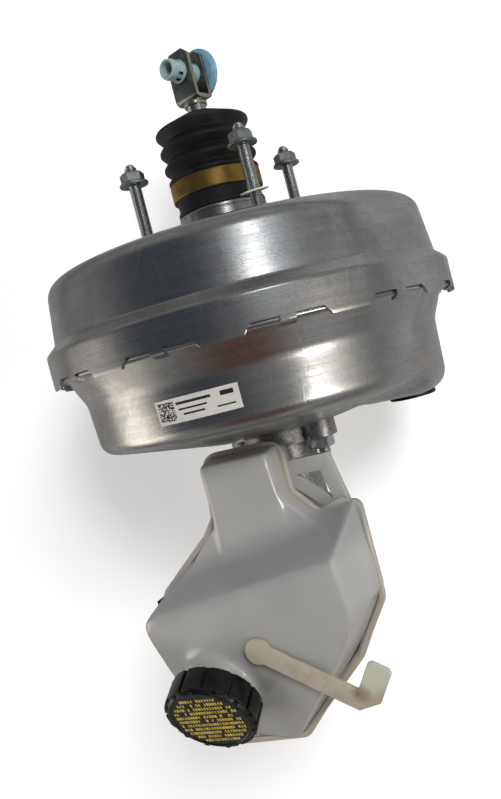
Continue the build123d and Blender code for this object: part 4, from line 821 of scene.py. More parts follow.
def milky_plastic(name, settings):
    """Milky tank plastic: cool where thin, warm and dirty at the welded seam, with painted
    shade in the trough.
    """
    material, tree, shader, place_of = new_material(name)
    x, y, z = add(tree, "ShaderNodeSeparateXYZ", inputs={0: place_of}).outputs
    flow = noise(tree, place_of, 16.0, 2.0, 0.5, 0.3)
    fine = noise(tree, place_of, 900.0, 3.0, 0.6)
    base = blend(tree, ramp(tree, flow, (0.35, 0.0), (0.72, 0.45)), settings.plastic,
                 settings.shade)
    seam = calc(tree, "ABSOLUTE", calc(tree, "SUBTRACT", z, SEAM * MM))
    base = blend(tree, remap(tree, seam, 0.0014, 0.0030, 0.6, 0.0), base, settings.seam)
    # Painted shade: a darker cool grey band along the trough where the hump meets the main
    # body.
    shade_trough_line = calc(tree, "MULTIPLY_ADD", x, -0.188,
                  calc(tree, "MULTIPLY_ADD", y, 0.982, 0.1812))
    depth = remap(tree, calc(tree, "ABSOLUTE", shade_trough_line), 0.002, 0.016, 0.55, 0.0, True)
    base = blend(tree, depth, base, srgb(0.44, 0.455, 0.47))
    dirt = ramp(tree, noise(tree, place_of, 24.0, 3.0, 0.5), (0.50, 0.0), (0.75, 1.0))
    base = over(tree, base, srgb(0.54, 0.50, 0.45), dirt, 0.22)
    feed(tree, shader, {
        "Base Color": base, "Roughness": lift(tree, 0.20, fine, 0.10),
        "Coat Weight": 0.6, "Coat Roughness": 0.07, "Subsurface Weight": 0.35,
        "Subsurface Radius": (0.006, 0.006, 0.005), "Subsurface Scale": 1.0})
    height = lift(tree, noise(tree, place_of, 34.0, 1.0), fine, 0.10)
    bump(tree, shader, height, 0.2, 0.0003)
    return material


def clear_plastic(name, tone):
    """Clear coloured plastic with a worn surface."""
    material, tree, shader, place_of = new_material(name)
    wear = noise(tree, place_of, 260.0, 5.0, 0.7)
    pale = shade(tone, 1.25, 0.06)
    base = blend(tree, ramp(tree, wear, (0.4, 0.0), (0.7, 0.8)), tone, pale)
    feed(tree, shader, {"Base Color": base, "Roughness": lift(tree, 0.12, wear, 0.2),
                        "Transmission Weight": 0.35, "IOR": 1.46})
    bump(tree, shader, wear, 0.2, 0.0001)
    return material


def cloth_like(name, tone, scale):
    """Open foam or felt."""
    material, tree, shader, place_of = new_material(name)
    cells = add(tree, "ShaderNodeTexVoronoi", inputs={"Vector": place_of, "Scale": scale})
    depth = cells.outputs["Distance"]
    base = blend(tree, depth, shade(tone, 0.3), tone)
    feed(tree, shader, {"Base Color": base, "Roughness": 0.95})
    bump(tree, shader, depth, 0.8, 0.0004)
    return material


def floor_paint(name, tone):
    """Pale floor that glows a little, and looks darker in reflections."""
    material, tree, shader, place_of = new_material(name)
    grain = noise(tree, place_of, 12.0, 4.0)
    mirrored = add(tree, "ShaderNodeLightPath").outputs["Is Glossy Ray"]
    direct = blend(tree, grain, tone, shade(tone, 0.985))
    glow = calc(tree, "MULTIPLY", calc(tree, "SUBTRACT", 1.0, mirrored), 0.18)
    feed(tree, shader, {
        "Base Color": blend(tree, mirrored, direct, srgb(0.66, 0.655, 0.65)),
        "Roughness": 0.9, "Specular IOR Level": 0.0, "Emission Color": tone,
        "Emission Strength": glow})
    return material


PAINTS = {}


def paint(name):
    """One shared material for each finish."""
    if name not in PAINTS:
        scene = bpy.context.scene
        shell, boot, fork = scene.booster_shell, scene.booster_boot, scene.booster_fork
        tank, fastener, label = scene.booster_tank, scene.booster_fastener, scene.booster_label
        makers = {
            "rear drum metal": lambda: shell_metal(name, shell, srgb(0.45, 0.48, 0.55)),
            "front drum metal": lambda: shell_metal(name, shell, srgb(0.66, 0.55, 0.44)),
            "cast cylinder": lambda: cast_metal(name, srgb(0.66, 0.66, 0.66)),
            "zinc thread": lambda: plated(name, fastener.zinc[:], 0.26, patch=0.2),
            "dull nut": lambda: plated(name, fastener.nut[:], 0.46, 0.0001,
                                       srgb(0.30, 0.29, 0.28)),
            "bright steel": lambda: plated(name, fork.steel[:], 0.22),
            "fork sheet": lambda: plated(name, fork.sheet[:], 0.34, 0.00008,
                                         srgb(0.30, 0.26, 0.20)),
            "fork edge": lambda: plated(name, fork.edge[:], 0.30),
            "inner sheet": lambda: plated(name, srgb(0.45, 0.44, 0.38), 0.4),
            "piston metal": lambda: plated(name, srgb(0.70, 0.66, 0.52), 0.35),
            "band plating": lambda: plated(name, boot.band[:], 0.40, 0.00005,
                                           srgb(0.44, 0.34, 0.16), 300.0),
            "boot rubber": lambda: rubber(name, boot.rubber[:], boot.dust[:], 0.28),
            "seal rubber": lambda: rubber(name, boot.rubber[:], boot.dust[:], 0.12),
            "valve plastic": lambda: moulded(name, srgb(0.62, 0.54, 0.38)),
            "pale plastic": lambda: moulded(name, fastener.washer[:], 0.5, 0.00003,
                                            srgb(0.55, 0.50, 0.44), 0.5, 150.0),
            "tank plastic": lambda: milky_plastic(name, tank),
            # The last colour is a painted highlight on the arm's hook.
            "arm plastic": lambda: arm_plastic(name, tank.arm[:], srgb(0.64, 0.64, 0.58)),
            "cap plastic": lambda: moulded(name, tank.cap[:], 0.30, 0.00006,
                                           srgb(0.20, 0.19, 0.18), 0.2, 90.0),
            "cap print": lambda: moulded(name, tank.print[:], 0.5, 0.00004,
                                         srgb(0.40, 0.34, 0.12), 0.6, 200.0),
            "blue plastic": lambda: clear_plastic(name, fork.pin[:]),
            "sleeve plastic": lambda: clear_plastic(name, fork.sleeve[:]),
            "float foam": lambda: moulded(name, srgb(0.86, 0.84, 0.76), 0.6),
            "filter foam": lambda: cloth_like(name, srgb(0.40, 0.40, 0.38), 1100.0),
            "felt": lambda: cloth_like(name, srgb(0.66, 0.62, 0.54), 2200.0),
            "label film": lambda: moulded(name, label.film[:], 0.5, 0.00003,
                                          srgb(0.60, 0.57, 0.52), 0.4, 90.0),
            "label ink": lambda: moulded(name, label.ink[:], 0.55),
        }
        PAINTS[name] = makers[name]()
    return PAINTS[name]


NODE_PAINTS = {
    "inner sheet": ("rear_plate", "front_plate", "diaphragm_plate"),
    "seal rubber": ("neck_seal", "reaction_disc", "poppet_valve",
                    "cylinder_o_ring", "guide_ring", "primary_seals", "secondary_seals",
                    "reservoir_grommets", "cap_seal"),
    "valve plastic": ("seal_retainer", "valve_body", "poppet_retainer"),
    "bright steel": ("output_rod", "valve_plunger", "poppet_spring", "stop_pin",
                     "reservoir_pin", "valve_key"),
    "piston metal": ("primary_piston", "secondary_piston"),
    "filter foam": ("air_filter",),
    "felt": ("silencer_felt",),
    "pale plastic": ("strainer",),
    "float foam": ("float",),
    "cap plastic": ("level_sensor",),
}

# Spring: (body it stands on, joint that squeezes it, height of its seat, share kept)
SPRINGS = {
    "return_spring": ("housing", "booster_stroke", -117.1, 0.643),
    "rod_spring": ("power_piston", "pedal_push", 20.9, 0.895),
    "primary_spring": ("secondary_piston", "primary_piston_slide", -171.7, 0.475),
    "secondary_spring": ("housing", "secondary_piston_slide", -261.7, 0.702),
}


# ------------------------------------------------------------------ operators

class BOOSTER_OT_inner_parts(bpy.types.Operator):
    """Give the packed inner parts their finishes"""
    bl_idname = "booster.inner_parts"
    bl_label = "Inner parts"

    def execute(self, context):
        for finish, names in NODE_PAINTS.items():
            for name in names:
                for slot in NODES[name].material_slots:
                    slot.material = paint(finish)
        for name, (body, joint, seat, keep) in SPRINGS.items():
            piece = new_piece(name + "_coil", [node_form(name)], [paint("bright steel")])
            fit(piece, body, name)
            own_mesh(piece)
        piece = new_piece("diaphragm_skin", [node_form("diaphragm")], [paint("seal rubber")])
        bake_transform(piece)
        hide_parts("diaphragm")
        return {"FINISHED"}


class BOOSTER_OT_rear_shell(bpy.types.Operator):
    """Rear half of the drum with its crimped band"""
    bl_idname = "booster.rear_shell"
    bl_label = "Rear shell"

    def execute(self, context):
        settings = context.scene.booster_shell
        wall = settings.wall / MM
        depth = settings.notch_depth / MM
        bottom = -62.3
        drum = [(28.7, 0.0), (118.6, 0.0), (122.6, -36.2), (129.0, -42.2), (129.0, bottom)]
        bends = [3.0, 10.2, 2.2, 3.5]
        neck = [(25.6, 44.0), (25.6, 24.6), (28.4, 24.6)]
        groove = [(28.45, 22.6), (28.0, 22.3), (28.0, 21.7), (28.5, 21.4)]
        line = rounded_line(neck + groove + drum, [1.0, 0.9, 0.2, 0.2, 0.2, 0.2] + bends, 5.0)
        line = line[:-1] + dense(line[-2:], 2.0)[1:]
        plain = rounded_line(neck + drum, [1.0, 2.0] + bends, 5.0)
        inner = side_line(plain[:-1] + dense(plain[-2:], 2.0)[1:], wall)
        rim = [Vector((128.85, bottom - 0.3)), Vector((127.6, bottom - 0.3))]
        outline = line + rim + inner[::-1]
        step = 2 * math.pi / settings.notch_count
        top, foot = settings.notch_top, settings.notch_foot

        def limit(angle):
            away = abs((angle + step / 2) % step - step / 2)
            share = min(1.0, max(0.0, (away - top) / (foot - top)))
            return share * share * (3 - 2 * share)

        def change(radius, y, angle):
            if radius > 126.0 and y < bottom + depth + 2.0:
                reach = depth * (1 - limit(angle))
                low = bottom + depth + 2.0
                share = (low - y) / (depth + 2.3)
                y = low - share * (depth + 2.3 - reach)
            return radius, y

        angles = []
        for index in range(settings.notch_count):
            start = index * step
            fine = [top + (foot - top) * k / 8 for k in range(-2, 11)]
            side = [k * top / 5 for k in range(0, 5)] + fine
            wide = [foot + (step / 2 - foot) * k / 3 for k in range(2, 3)]
            marks = sorted(set(side + wide))
            angles += [start + mark for mark in marks]
            angles.append(start + step / 2)
            angles += [start + step - mark for mark in marks[:0:-1]]
        angles = sorted(set(round(angle % (2 * math.pi), 6) for angle in angles))
        shell = lathe(outline, angles, change)
        piece = new_piece("rear_shell_drum", [shell], [paint("rear drum metal")], 50.0)
        fit(piece, "housing", "rear_shell")
        self.lances(settings, paint("rear drum metal"))
        return {"FINISHED"}

    def lances(self, settings, metal):
        """Tabs bent in under the rim of the front half."""
        tab = bmesh.new()
        line = rounded_line([(128.95, -56.6), (128.95, -60.6), (124.2, -62.4)], [1.8], 12.0)
        outline = line + side_line(line, 1.4)[::-1]
        rows = []
        half = math.radians(1.75)
        for index in range(7):
            angle = -half + 2 * half * index / 6
            across, up = math.cos(angle), math.sin(angle)
            rows.append([tab.verts.new(Vector((r * across, y, r * up)) * MM)
                         for r, y in outline])
        for first, second in zip(rows, rows[1:]):
            for index in range(len(outline)):
                after = (index + 1) % len(outline)
                tab.faces.new((first[index], first[after], second[after], second[index]))
        tab.faces.new(rows[0])
        tab.faces.new(rows[-1][::-1])
        bmesh.ops.recalc_face_normals(tab, faces=tab.faces)
        piece = grow("rear_shell_tabs", tab, around_tree(),
                     {"Count": settings.notch_count, "Material": metal}, 50.0)
        fit(piece, "housing", "rear_shell")


class BOOSTER_OT_front_shell(bpy.types.Operator):
    """Front half of the drum with the pad for the vacuum port"""
    bl_idname = "booster.front_shell"
    bl_label = "Front shell"

    def execute(self, context):
        settings = context.scene.booster_shell
        wall = settings.wall / MM
        points = [(127.1, -59.2), (120.8, -59.2), (113.2, -76.0), (111.6, -106.8),
                  (48.0, -119.0), (19.3, -119.0)]
        line = rounded_line(points, [2.5, 16.0, 9.0, 10.0], 5.0)
        line = dense(line, 4.0)
        inner = side_line(line, wall)
        rim = [Vector((127.25, -57.9)), Vector((127.25, -58.9))]
        outline = rim + line + inner[::-1]
        angle_of_pad = math.radians(-8.0)
        flat = -117.6

        def change(radius, y, angle):
            away = (angle - angle_of_pad + math.pi) % (2 * math.pi) - math.pi
            if y > -84.0 or radius < 40.0:
                return radius, y
            share = 1 - self.ease((abs(away) - math.radians(17.5)) / math.radians(9.0))
            inward = self.ease((radius - 59.0) / 9.0)
            share *= inward
            if share <= 0:
                return radius, y
            return self.raised(radius, y, share, flat)

        shell = lathe(outline, even_angles(360), change)
        piece = new_piece("front_shell_drum", [shell], [paint("front drum metal")], 50.0)
        fit(piece, "housing", "front_shell")
        return {"FINISHED"}

    @staticmethod
    def ease(value):
        value = min(1.0, max(0.0, value))
        return value * value * (3 - 2 * value)

    @staticmethod
    def raised(radius, y, share, flat):
        """Carry the wall down to the flat of the pad."""
        cone = -106.8 - (111.6 - radius) * 12.2 / 63.6
        if radius > 103.0:
            top = -84.0
            drop = (top - y) / (top + 106.8 + 3.0)
            extra = max(0.0, min(1.0, drop)) * (-108.6 - flat)
            return radius, y - share * extra
        return radius, y - share * max(0.0, cone - flat - 0.2)


class BOOSTER_OT_vacuum_grommet(bpy.types.Operator):
    """Rubber grommet of the vacuum port"""
    bl_idname = "booster.vacuum_grommet"
    bl_label = "Vacuum grommet"

    def execute(self, context):
        points = [(8.0, -113.6), (8.0, -120.6), (14.5, -120.6), (14.5, -117.7), (11.0, -117.6),
                  (11.0, -116.0), (13.0, -116.0), (12.0, -113.4)]
        outline = rounded_line(points, [1.0, 0.9, 0.5, 0.2, 0.2, 0.4], 15.0)
        ring = lathe(outline, even_angles(72))
        piece = new_piece("vacuum_grommet_rubber", [ring], [paint("boot rubber")], 60.0)
        angle = math.radians(-8.0)
        place(piece, Matrix.Translation(Vector((88.5 * math.cos(angle), 0.0,
                                                88.5 * math.sin(angle))) * MM))
        fit(piece, "housing", "vacuum_grommet")
        return {"FINISHED"}


class BOOSTER_OT_fasteners(bpy.types.Operator):
    """Studs, nuts and the thin disc on one stud"""
    bl_idname = "booster.fasteners"
    bl_label = "Studs and nuts"

    def execute(self, context):
        settings = context.scene.booster_fastener
        rods = thread_tree()
        corners = [(x, STUD_FOOT, z) for x in (-STUD_HALF, STUD_HALF)
                   for z in (-STUD_HALF, STUD_HALF)]
        self.rods(settings, rods, "bulkhead_studs", corners, STUD_TALL, (0.0, 0.0, 0.0))
        ends = [(x, CYLINDER_STUD_FOOT, z) for x, z in CYLINDER_STUDS]
        self.rods(settings, rods, "cylinder_studs", ends, CYLINDER_STUD_TALL,
                  (math.pi, 0.0, 0.0))
        copies = copies_tree()
        seats = [(x, STUD_NUT_SEAT, z) for x, _, z in corners]
        self.nuts(settings, copies, "flange_nuts", seats, True, 0.0, STUD_NUT_TALL)
        seats = [(x, CYLINDER_NUT_SEAT, z) for x, z in CYLINDER_STUDS]
        self.nuts(settings, copies, "cylinder_nuts", seats, False, math.pi,
                  CYLINDER_NUT_TALL)
        self.washer()
        return {"FINISHED"}

    def rods(self, settings, tree, node, places, tall, turn):
        rows = round(tall / (settings.pitch / MM) * 10)
        piece = grow(node + "_thread", points_form(places), tree, {
            "Radius": settings.radius, "Depth": settings.depth, "Pitch": settings.pitch,
            "Length": tall * MM, "Rows": rows, "Sides": 36, "Point": 2.4 * MM, "Turn": turn,
            "Material": paint("zinc thread")}, 60.0)
        fit(piece, "housing", node)

    def nuts(self, settings, tree, node, places, flanged, flip, tall):
        model = self.nut(settings, flanged, tall)
        piece = grow(node + "_hex", points_form(places), tree, {
            "Object": model, "Seed": 4, "Flip": flip,
            "Material": paint("dull nut" if flanged else "zinc thread")}, 30.0)
        bpy.data.objects.remove(model)
        fit(piece, "housing", node)

    def nut(self, settings, flanged, tall):
        """Nut along +Y with its foot at zero."""
        across = settings.flats / MM / 2
        bore = settings.radius / MM - 0.1
        corner = across / math.cos(math.pi / 6)

        def flats(radius, y, angle):
            if radius < bore + 0.6 or (flanged and y < 2.0):
                return radius, y
            away = (angle + math.pi / 6) % (math.pi / 3) - math.pi / 6
            side = across / math.cos(away)
            return min(radius, side), y

        if flanged:
            rim = settings.flange / MM
            points = [(bore, 0.0), (rim, 0.0), (rim, 1.5), (corner - 0.2, 2.7),
                      (corner, 3.2), (corner, tall - 1.1), (across - 0.5, tall), (bore, tall)]
            outline = rounded_line(points, [0.4, 0.6, 0.5, 0.3, 0.2, 0.3], 20.0)
        else:
            points = [(bore, 0.0), (across - 0.3, 0.0), (corner, 1.0), (corner, tall - 1.0),
                      (across - 0.3, tall), (bore, tall)]
            outline = rounded_line(points, [0.2, 0.2, 0.2, 0.2], 20.0)
        form = lathe(dense(outline, 2.5), even_angles(96), flats)
        return new_piece("nut_model", [form], [paint("dull nut")], 30.0)

    def washer(self):
        points = [(4.7, -0.5), (8.6, -0.5), (8.6, 0.5), (4.7, 0.5)]
        outline = rounded_line(points + [points[0]], [0.25, 0.25, 0.1], 30.0)[:-1]
        disc = lathe(outline, even_angles(64))
        piece = new_piece("stud_washer_disc", [disc], [paint("pale plastic")], 50.0)
        place(piece, Matrix.Translation(STUD_WASHER * MM)
              @ Matrix.Rotation(STUD_WASHER_TILT, 4, "X"))
        fit(piece, "housing", "stud_washer")


class BOOSTER_OT_boot(bpy.types.Operator):
    """Ribbed rubber boot with its plated band"""
    bl_idname = "booster.boot"
    bl_label = "Boot"

    def execute(self, context):
        settings = context.scene.booster_boot
        wall = settings.wall / MM
        lobe, valley = settings.lobe / MM, settings.valley / MM
        lower = [(28.3, 24.9), (28.3, 27.0), (27.2, 28.6), (27.2, 33.6), (27.8, 34.8),
                 (27.8, 45.0), (29.4, 46.8), (29.4, 48.0), (valley, 51.4), (lobe, 55.4),
                 (lobe, 57.0), (valley, 61.4), (lobe + 0.1, 66.0), (lobe + 0.1, 67.6),
                 (valley, 72.2), (lobe + 0.2, 77.4), (lobe + 0.2, 79.0), (24.0, 81.74)]
        radii = [1.2, 0.8, 0.8, 0.8, 0.4, 0.5, 0.8, 0.8, 0.5, 0.8, 0.8, 0.5, 0.8, 0.8, 0.5,
                 0.8, 0.6]
        line = rounded_line(lower, radii[:len(lower) - 2], 14.0)
        self.part("boot_folds", line, wall, ("housing", "valve_plunger"), 47.0, 79.0)
        upper = [(24.0, 81.74), (14.0, 86.3), (8.4, 88.2), (6.4, 88.2)]
        line = rounded_line(upper, [6.0, 0.8], 8.0)
        self.part("boot_top", line, wall, ("valve_plunger", "input_rod"), 82.0, 88.0)
        self.band()
        return {"FINISHED"}

    def part(self, name, line, wall, bodies, start, end):
        inner = [Vector((max(6.35, point.x), point.y)) for point in side_line(line, -wall)]
        outline = line + inner[::-1]
        form = lathe(dense(outline, 3.0), even_angles(144))
        piece = new_piece(name, [form], [paint("boot rubber")], 60.0)
        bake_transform(piece)
        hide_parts("boot")

    def band(self):
        points = [(27.95, 34.9), (29.2, 34.7), (29.35, 35.6), (29.35, 44.6), (29.2, 45.5),
                  (27.95, 45.3)]
        outline = rounded_line(points + [points[0]], [0.3, 0.5, 0.5, 0.3, 0.2], 20.0)[:-1]
        hoop = lathe(outline, even_angles(160))
        piece = new_piece("boot_band_hoop", [hoop], [paint("band plating")], 50.0)
        fit(piece, "housing", "boot_band")


class BOOSTER_OT_fork(bpy.types.Operator):
    """Rod, fork and blue pin"""
    bl_idname = "booster.fork"
    bl_label = "Fork and pin"

    def execute(self, context):
        rod = flat_form("input_rod")
        piece = bevel(new_piece("input_rod_turned", [rod], [paint("bright steel")]), 0.3)
        fit(piece, "input_rod", "input_rod")
        self.fork()
        self.pin()
        return {"FINISHED"}

    def fork(self):
        form = flat_form("clevis")
        piece = new_piece("clevis_fork", [form], [paint("fork sheet"), paint("fork edge")])
        bevel(piece, 0.35, 2)
        turn = about_fork().inverted()
        for face in piece.data.polygons:
            normal = turn.to_3x3() @ face.normal
            if abs(normal.z) < 0.75:
                face.material_index = 1
        fit(piece, "input_rod", "clevis")

    def pin(self):
        """Drawn along Y with zero at the middle of the fork, then turned upright."""
        shank = [(4.8, -10.6), (12.6, -11.2), (14.4, -11.7), (16.17, -10.9), (16.17, -8.9),
                 (14.0, -7.5), (6.5, -7.5), (6.5, 7.5), (7.0, 7.6), (7.1, 9.0),
                 (6.55, 9.2), (6.5, 16.9), (6.0, 18.6), (5.0, 18.7), (4.8, 18.1)]
        radii = [2.0, 0.5, 0.5, 1.0, 0.5, 0.2, 0.2, 0.3, 0.3, 0.2, 1.5, 0.4, 0.2]
        outline = rounded_line(shank, radii, 15.0)
        form = lathe(dense(outline, 4.0), even_angles(96))
        # Dark boxes at four places are painted shade standing in for the pin's windows.
        marks = []
        for angle in (35, 75, 215, 255):
            mark = bmesh.new()
            bmesh.ops.create_cube(mark, size=1.0)
            side = math.radians(angle)
            size = Matrix.Diagonal((0.6 * MM, 3.4 * MM, 1.6 * MM, 1.0))
            where = Matrix.Rotation(-side, 4, "Y") @ Matrix.Translation(
                Vector((6.45, PIN_EAR + 4.6, 0.0)) * MM)
            bmesh.ops.transform(mark, matrix=where @ size, verts=mark.verts)
            marks.append(mark)
        turn = Matrix.Translation(Vector((0.0, PIN_PLACE, 0.0)) * MM) @ about_fork() \
            @ Matrix.Rotation(math.pi / 2, 4, "X")
        piece = new_piece("clevis_pin_blue", [form],
                          [paint("blue plastic"), paint("sleeve plastic")], 40.0)
        for face in piece.data.polygons:
            if face.center.y > -PIN_EAR * MM:
                face.material_index = 1
        place(piece, turn)
        fit(piece, "clevis_pin", "clevis_pin")
        # Painted shade: the windows are drawn as dark boxes in the seal rubber finish.
        dark = new_piece("clevis_pin_windows", marks, [paint("seal rubber")], 40.0)
        place(dark, turn)
        fit(dark, "clevis_pin", "clevis_pin")


class BOOSTER_OT_cylinder(bpy.types.Operator):
    """Cast body of the master cylinder"""
    bl_idname = "booster.cylinder"
    bl_label = "Master cylinder"

    def execute(self, context):
        form = flat_form("cylinder_body")
        piece = bevel(new_piece("cylinder_casting", [form], [paint("cast cylinder")]), 0.6, 3)
        fit(piece, "housing", "cylinder_body")
        return {"FINISHED"}


class BOOSTER_OT_tank(bpy.types.Operator):
    """Upper and lower halves of the fluid tank"""
    bl_idname = "booster.tank"
    bl_label = "Tank"

    def execute(self, context):
        settings = context.scene.booster_tank
        self.upper(settings)
        self.lower()
        return {"FINISHED"}

    def upper(self, settings):
        seed = points_form([(0.0, 0.0, 0.0)])
        piece = grow("reservoir_top_shell", seed, self.upper_tree(), {
            "Wall": settings.wall, "Rounding": settings.round, "Hollow": settings.hollow,
            "Cell": settings.cell, "Material": paint("tank plastic")}, 80.0)
        form = bmesh.new()
        form.from_mesh(piece.data)
        bpy.data.objects.remove(piece)
        bmesh.ops.remove_doubles(form, verts=form.verts, dist=1e-6)
        bmesh.ops.recalc_face_normals(form, faces=form.faces)
        lip = self.lip(SEAM, SEAM + 1.6)
        piece = new_piece("reservoir_top_shell", [form, lip], [paint("tank plastic")], 70.0)
        fit(piece, "housing", "reservoir_top")

    def lower(self):
        form = flat_form("reservoir_bottom")
        piece = bevel(new_piece("reservoir_bottom_shell", [form], [paint("tank plastic")]),
                      0.5, 2)
        fit(piece, "housing", "reservoir_bottom")

    def lip(self, low, high):
        """Welded edge that stands out round the tank."""
        outline = seam_line()
        outer = [Vector(point) for point in outline]
        count = len(outer)
        form = bmesh.new()
        rows = []
        for inset, z in ((0.5, low), (0.0, low + 0.5), (0.0, high - 0.6), (0.6, high),
                         (3.4, high), (3.4, low)):
            ring = []
            for index in range(count):
                before, after = outer[index - 1], outer[(index + 1) % count]
                along = (after - before).normalized()
                normal = Vector((along.y, -along.x))
                where = outer[index] + normal * inset
                ring.append(form.verts.new(Vector((where.x, where.y, z)) * MM))
            rows.append(ring)
        for first, second in zip(rows, rows[1:] + rows[:1]):
            for index in range(count):
                after = (index + 1) % count
                form.faces.new((first[index], first[after], second[after], second[index]))
        bmesh.ops.recalc_face_normals(form, faces=form.faces)
        return form

    def upper_tree(self):
        """Tank cut from a grid: smooth corners between flat walls."""
        tree, given = new_tree("tank", {
            "Wall": ("Float", 0.0022), "Rounding": ("Float", 0.015),
            "Hollow": ("Float", 0.026), "Cell": ("Float", 0.001),
            "Material": ("Material", None)})
        place_of = add(tree, "GeometryNodeInputPosition").outputs[0]

        def wall(point, normal):
            normal = Vector(normal).normalized()
            offset = normal.dot(Vector(point)) * MM
            return calc(tree, "SUBTRACT", vector(tree, "DOT_PRODUCT", place_of,
                                                 tuple(normal)), offset)

        def side(start, end, draft=8.0):
            """Drafted wall on the left of the way from start to end at the seam."""
            along = (Vector(end) - Vector(start)).normalized()
            out = Vector((-along.y, along.x))
            lean = math.tan(math.radians(draft))
            base = Vector(start) - out * 2.5
            return wall((base.x, base.y, SEAM), (out.x, out.y, lean))

        def facet(first, second, third):
            first, second, third = Vector(first), Vector(second), Vector(third)
            normal = (second - first).cross(third - first)
            return wall(first, normal if normal.z > 0 else -normal)

        def body(walls, rounding):
            result = walls[0]
            for other in walls[1:]:
                result = calc(tree, "SMOOTH_MAX", result, other, rounding)
            return result

        soft = given["Rounding"]
        rise = facet((-66, -197, 75), (49, -175, 75), (20, -187.8, 92))
        slope = facet((-2, -199, 92), (45, -212, 92), (21, -267, 82))
        front = facet((-14, -247, 83.7), (21, -267, 82), (-28, -300, 54))
        main = body([side((57.0, -150.0), (57.5, -223.0)), side((57.5, -223), (44, -243)),
                     side((44, -243), (36, -256)), side((36, -256), (4, -286)),
                     side((4, -286), (-11, -302)),
                     side((-11, -302), (-66, -304)), side((-66, -304), (-88, -284)),
                     side((-88, -284), (-88, -213), 4.0), side((-88, -213), (-84, -201), 4.0),
                     side((-84, -201), (-46, -170))], soft)
        roof = body([slope, front, rise], soft)
        main = calc(tree, "SMOOTH_MAX", main, roof, soft)
        lid = wall((0.0, -121.5, 68.0), (0.0, -0.1, 1.0))
        hump = body([side((19, -121.5), (19, -250.0)), side((-36, -200), (-34, -121.5)),
                     side((-34, -121.5), (19, -121.5)), lid,
                     wall((0, -215, 0), (0, -1, 0))], soft)
        middle = body([side((19, -152), (32, -167)), side((-84, -201), (-46, -170)),
                       side((-46, -170), (-38, -160)), side((57, -150), (57.5, -223)),
                       side((-88, -284), (-88, -213), 4.0), wall((0, -215, 0), (0, -1, 0)),
                       wall((0, 0, 61.5), (0, 0, 1))], calc(tree, "MULTIPLY", soft, 0.6))
        low = calc(tree, "SMOOTH_MIN", hump, middle,
                   calc(tree, "MULTIPLY", given["Hollow"], 0.5))
        whole = calc(tree, "SMOOTH_MIN", main, low, given["Hollow"])
        from_neck = vector(tree, "SUBTRACT", place_of, tuple(CAP_PLACE * MM))
        along = vector(tree, "DOT_PRODUCT", from_neck, tuple(CAP_AXIS))
        across = vector(tree, "LENGTH", vector(tree, "SUBTRACT", from_neck, add(
            tree, "ShaderNodeVectorMath", {"operation": "SCALE"},
            {0: tuple(CAP_AXIS), "Scale": along}).outputs["Vector"]))
        neck = calc(tree, "SUBTRACT", across, NECK_RADIUS * MM)
        neck = calc(tree, "MAXIMUM", neck, calc(tree, "SUBTRACT", along, 8.0 * MM))
        neck = calc(tree, "MAXIMUM", neck, calc(tree, "SUBTRACT", -24.0 * MM, along))
        whole = calc(tree, "SMOOTH_MIN", whole, neck, 9.0 * MM)
        inner = calc(tree, "MULTIPLY", calc(tree, "ADD", whole, given["Wall"]), -1.0)
        shell = calc(tree, "MAXIMUM", whole, inner)
        bore = calc(tree, "SUBTRACT", NECK_BORE * MM, across)
        bore = calc(tree, "MINIMUM", bore, calc(tree, "ADD", 26.0 * MM, along))
        shell = calc(tree, "MAXIMUM", shell, bore)
        parts = add(tree, "ShaderNodeSeparateXYZ", inputs={0: place_of}).outputs
        shell = calc(tree, "MAXIMUM", shell, calc(tree, "SUBTRACT", SEAM * MM, parts[2]))
        density = calc(tree, "SUBTRACT", 0.5, calc(tree, "MULTIPLY", shell, 150.0))
        low_corner, high_corner = Vector((-91.0, -307.0, 47.0)), Vector((61.0, -119.0, 111.0))
        cells = [calc(tree, "CEIL", calc(tree, "DIVIDE", (b - a) * MM, given["Cell"]))
                 for a, b in zip(low_corner, high_corner)]
        cube = add(tree, "GeometryNodeVolumeCube", inputs={
            "Density": density, "Background": 0.0, "Min": tuple(low_corner * MM),
            "Max": tuple(high_corner * MM), "Resolution X": cells[0], "Resolution Y": cells[1],
            "Resolution Z": cells[2]})
        skin = add(tree, "GeometryNodeVolumeToMesh", inputs={
            "Volume": cube.outputs[0], "Threshold": 0.5})
        return close_tree(tree, skin.outputs[0], given["Material"])


def seam_line():
    """Plan of the welded edge, with its corners rounded."""
    corners = [(-34, -121.5, 10.8), (19, -121.5, 10.8), (19, -152, 4.0), (32, -167, 4.0),
               (43, -162.5, 10.8), (57, -162.5, 10.8), (57.5, -223, 10.8), (44, -243, 4.0),
               (36, -256, 10.8), (4, -286, 4.0), (-11, -302, 10.8), (-66, -304, 10.8),
               (-88, -284, 10.8), (-88, -213, 10.8), (-84, -201, 10.8), (-46, -170, 4.0),
               (-38, -160, 4.0), (-36, -140, 4.0)]
    points = [(x, y) for x, y, radius in corners]
    radii = [radius for x, y, radius in corners]
    loop = points[-1:] + points + points[:1]
    line = rounded_line(loop, radii, 10.0)
    return dense(line[1:-1], 6.0)


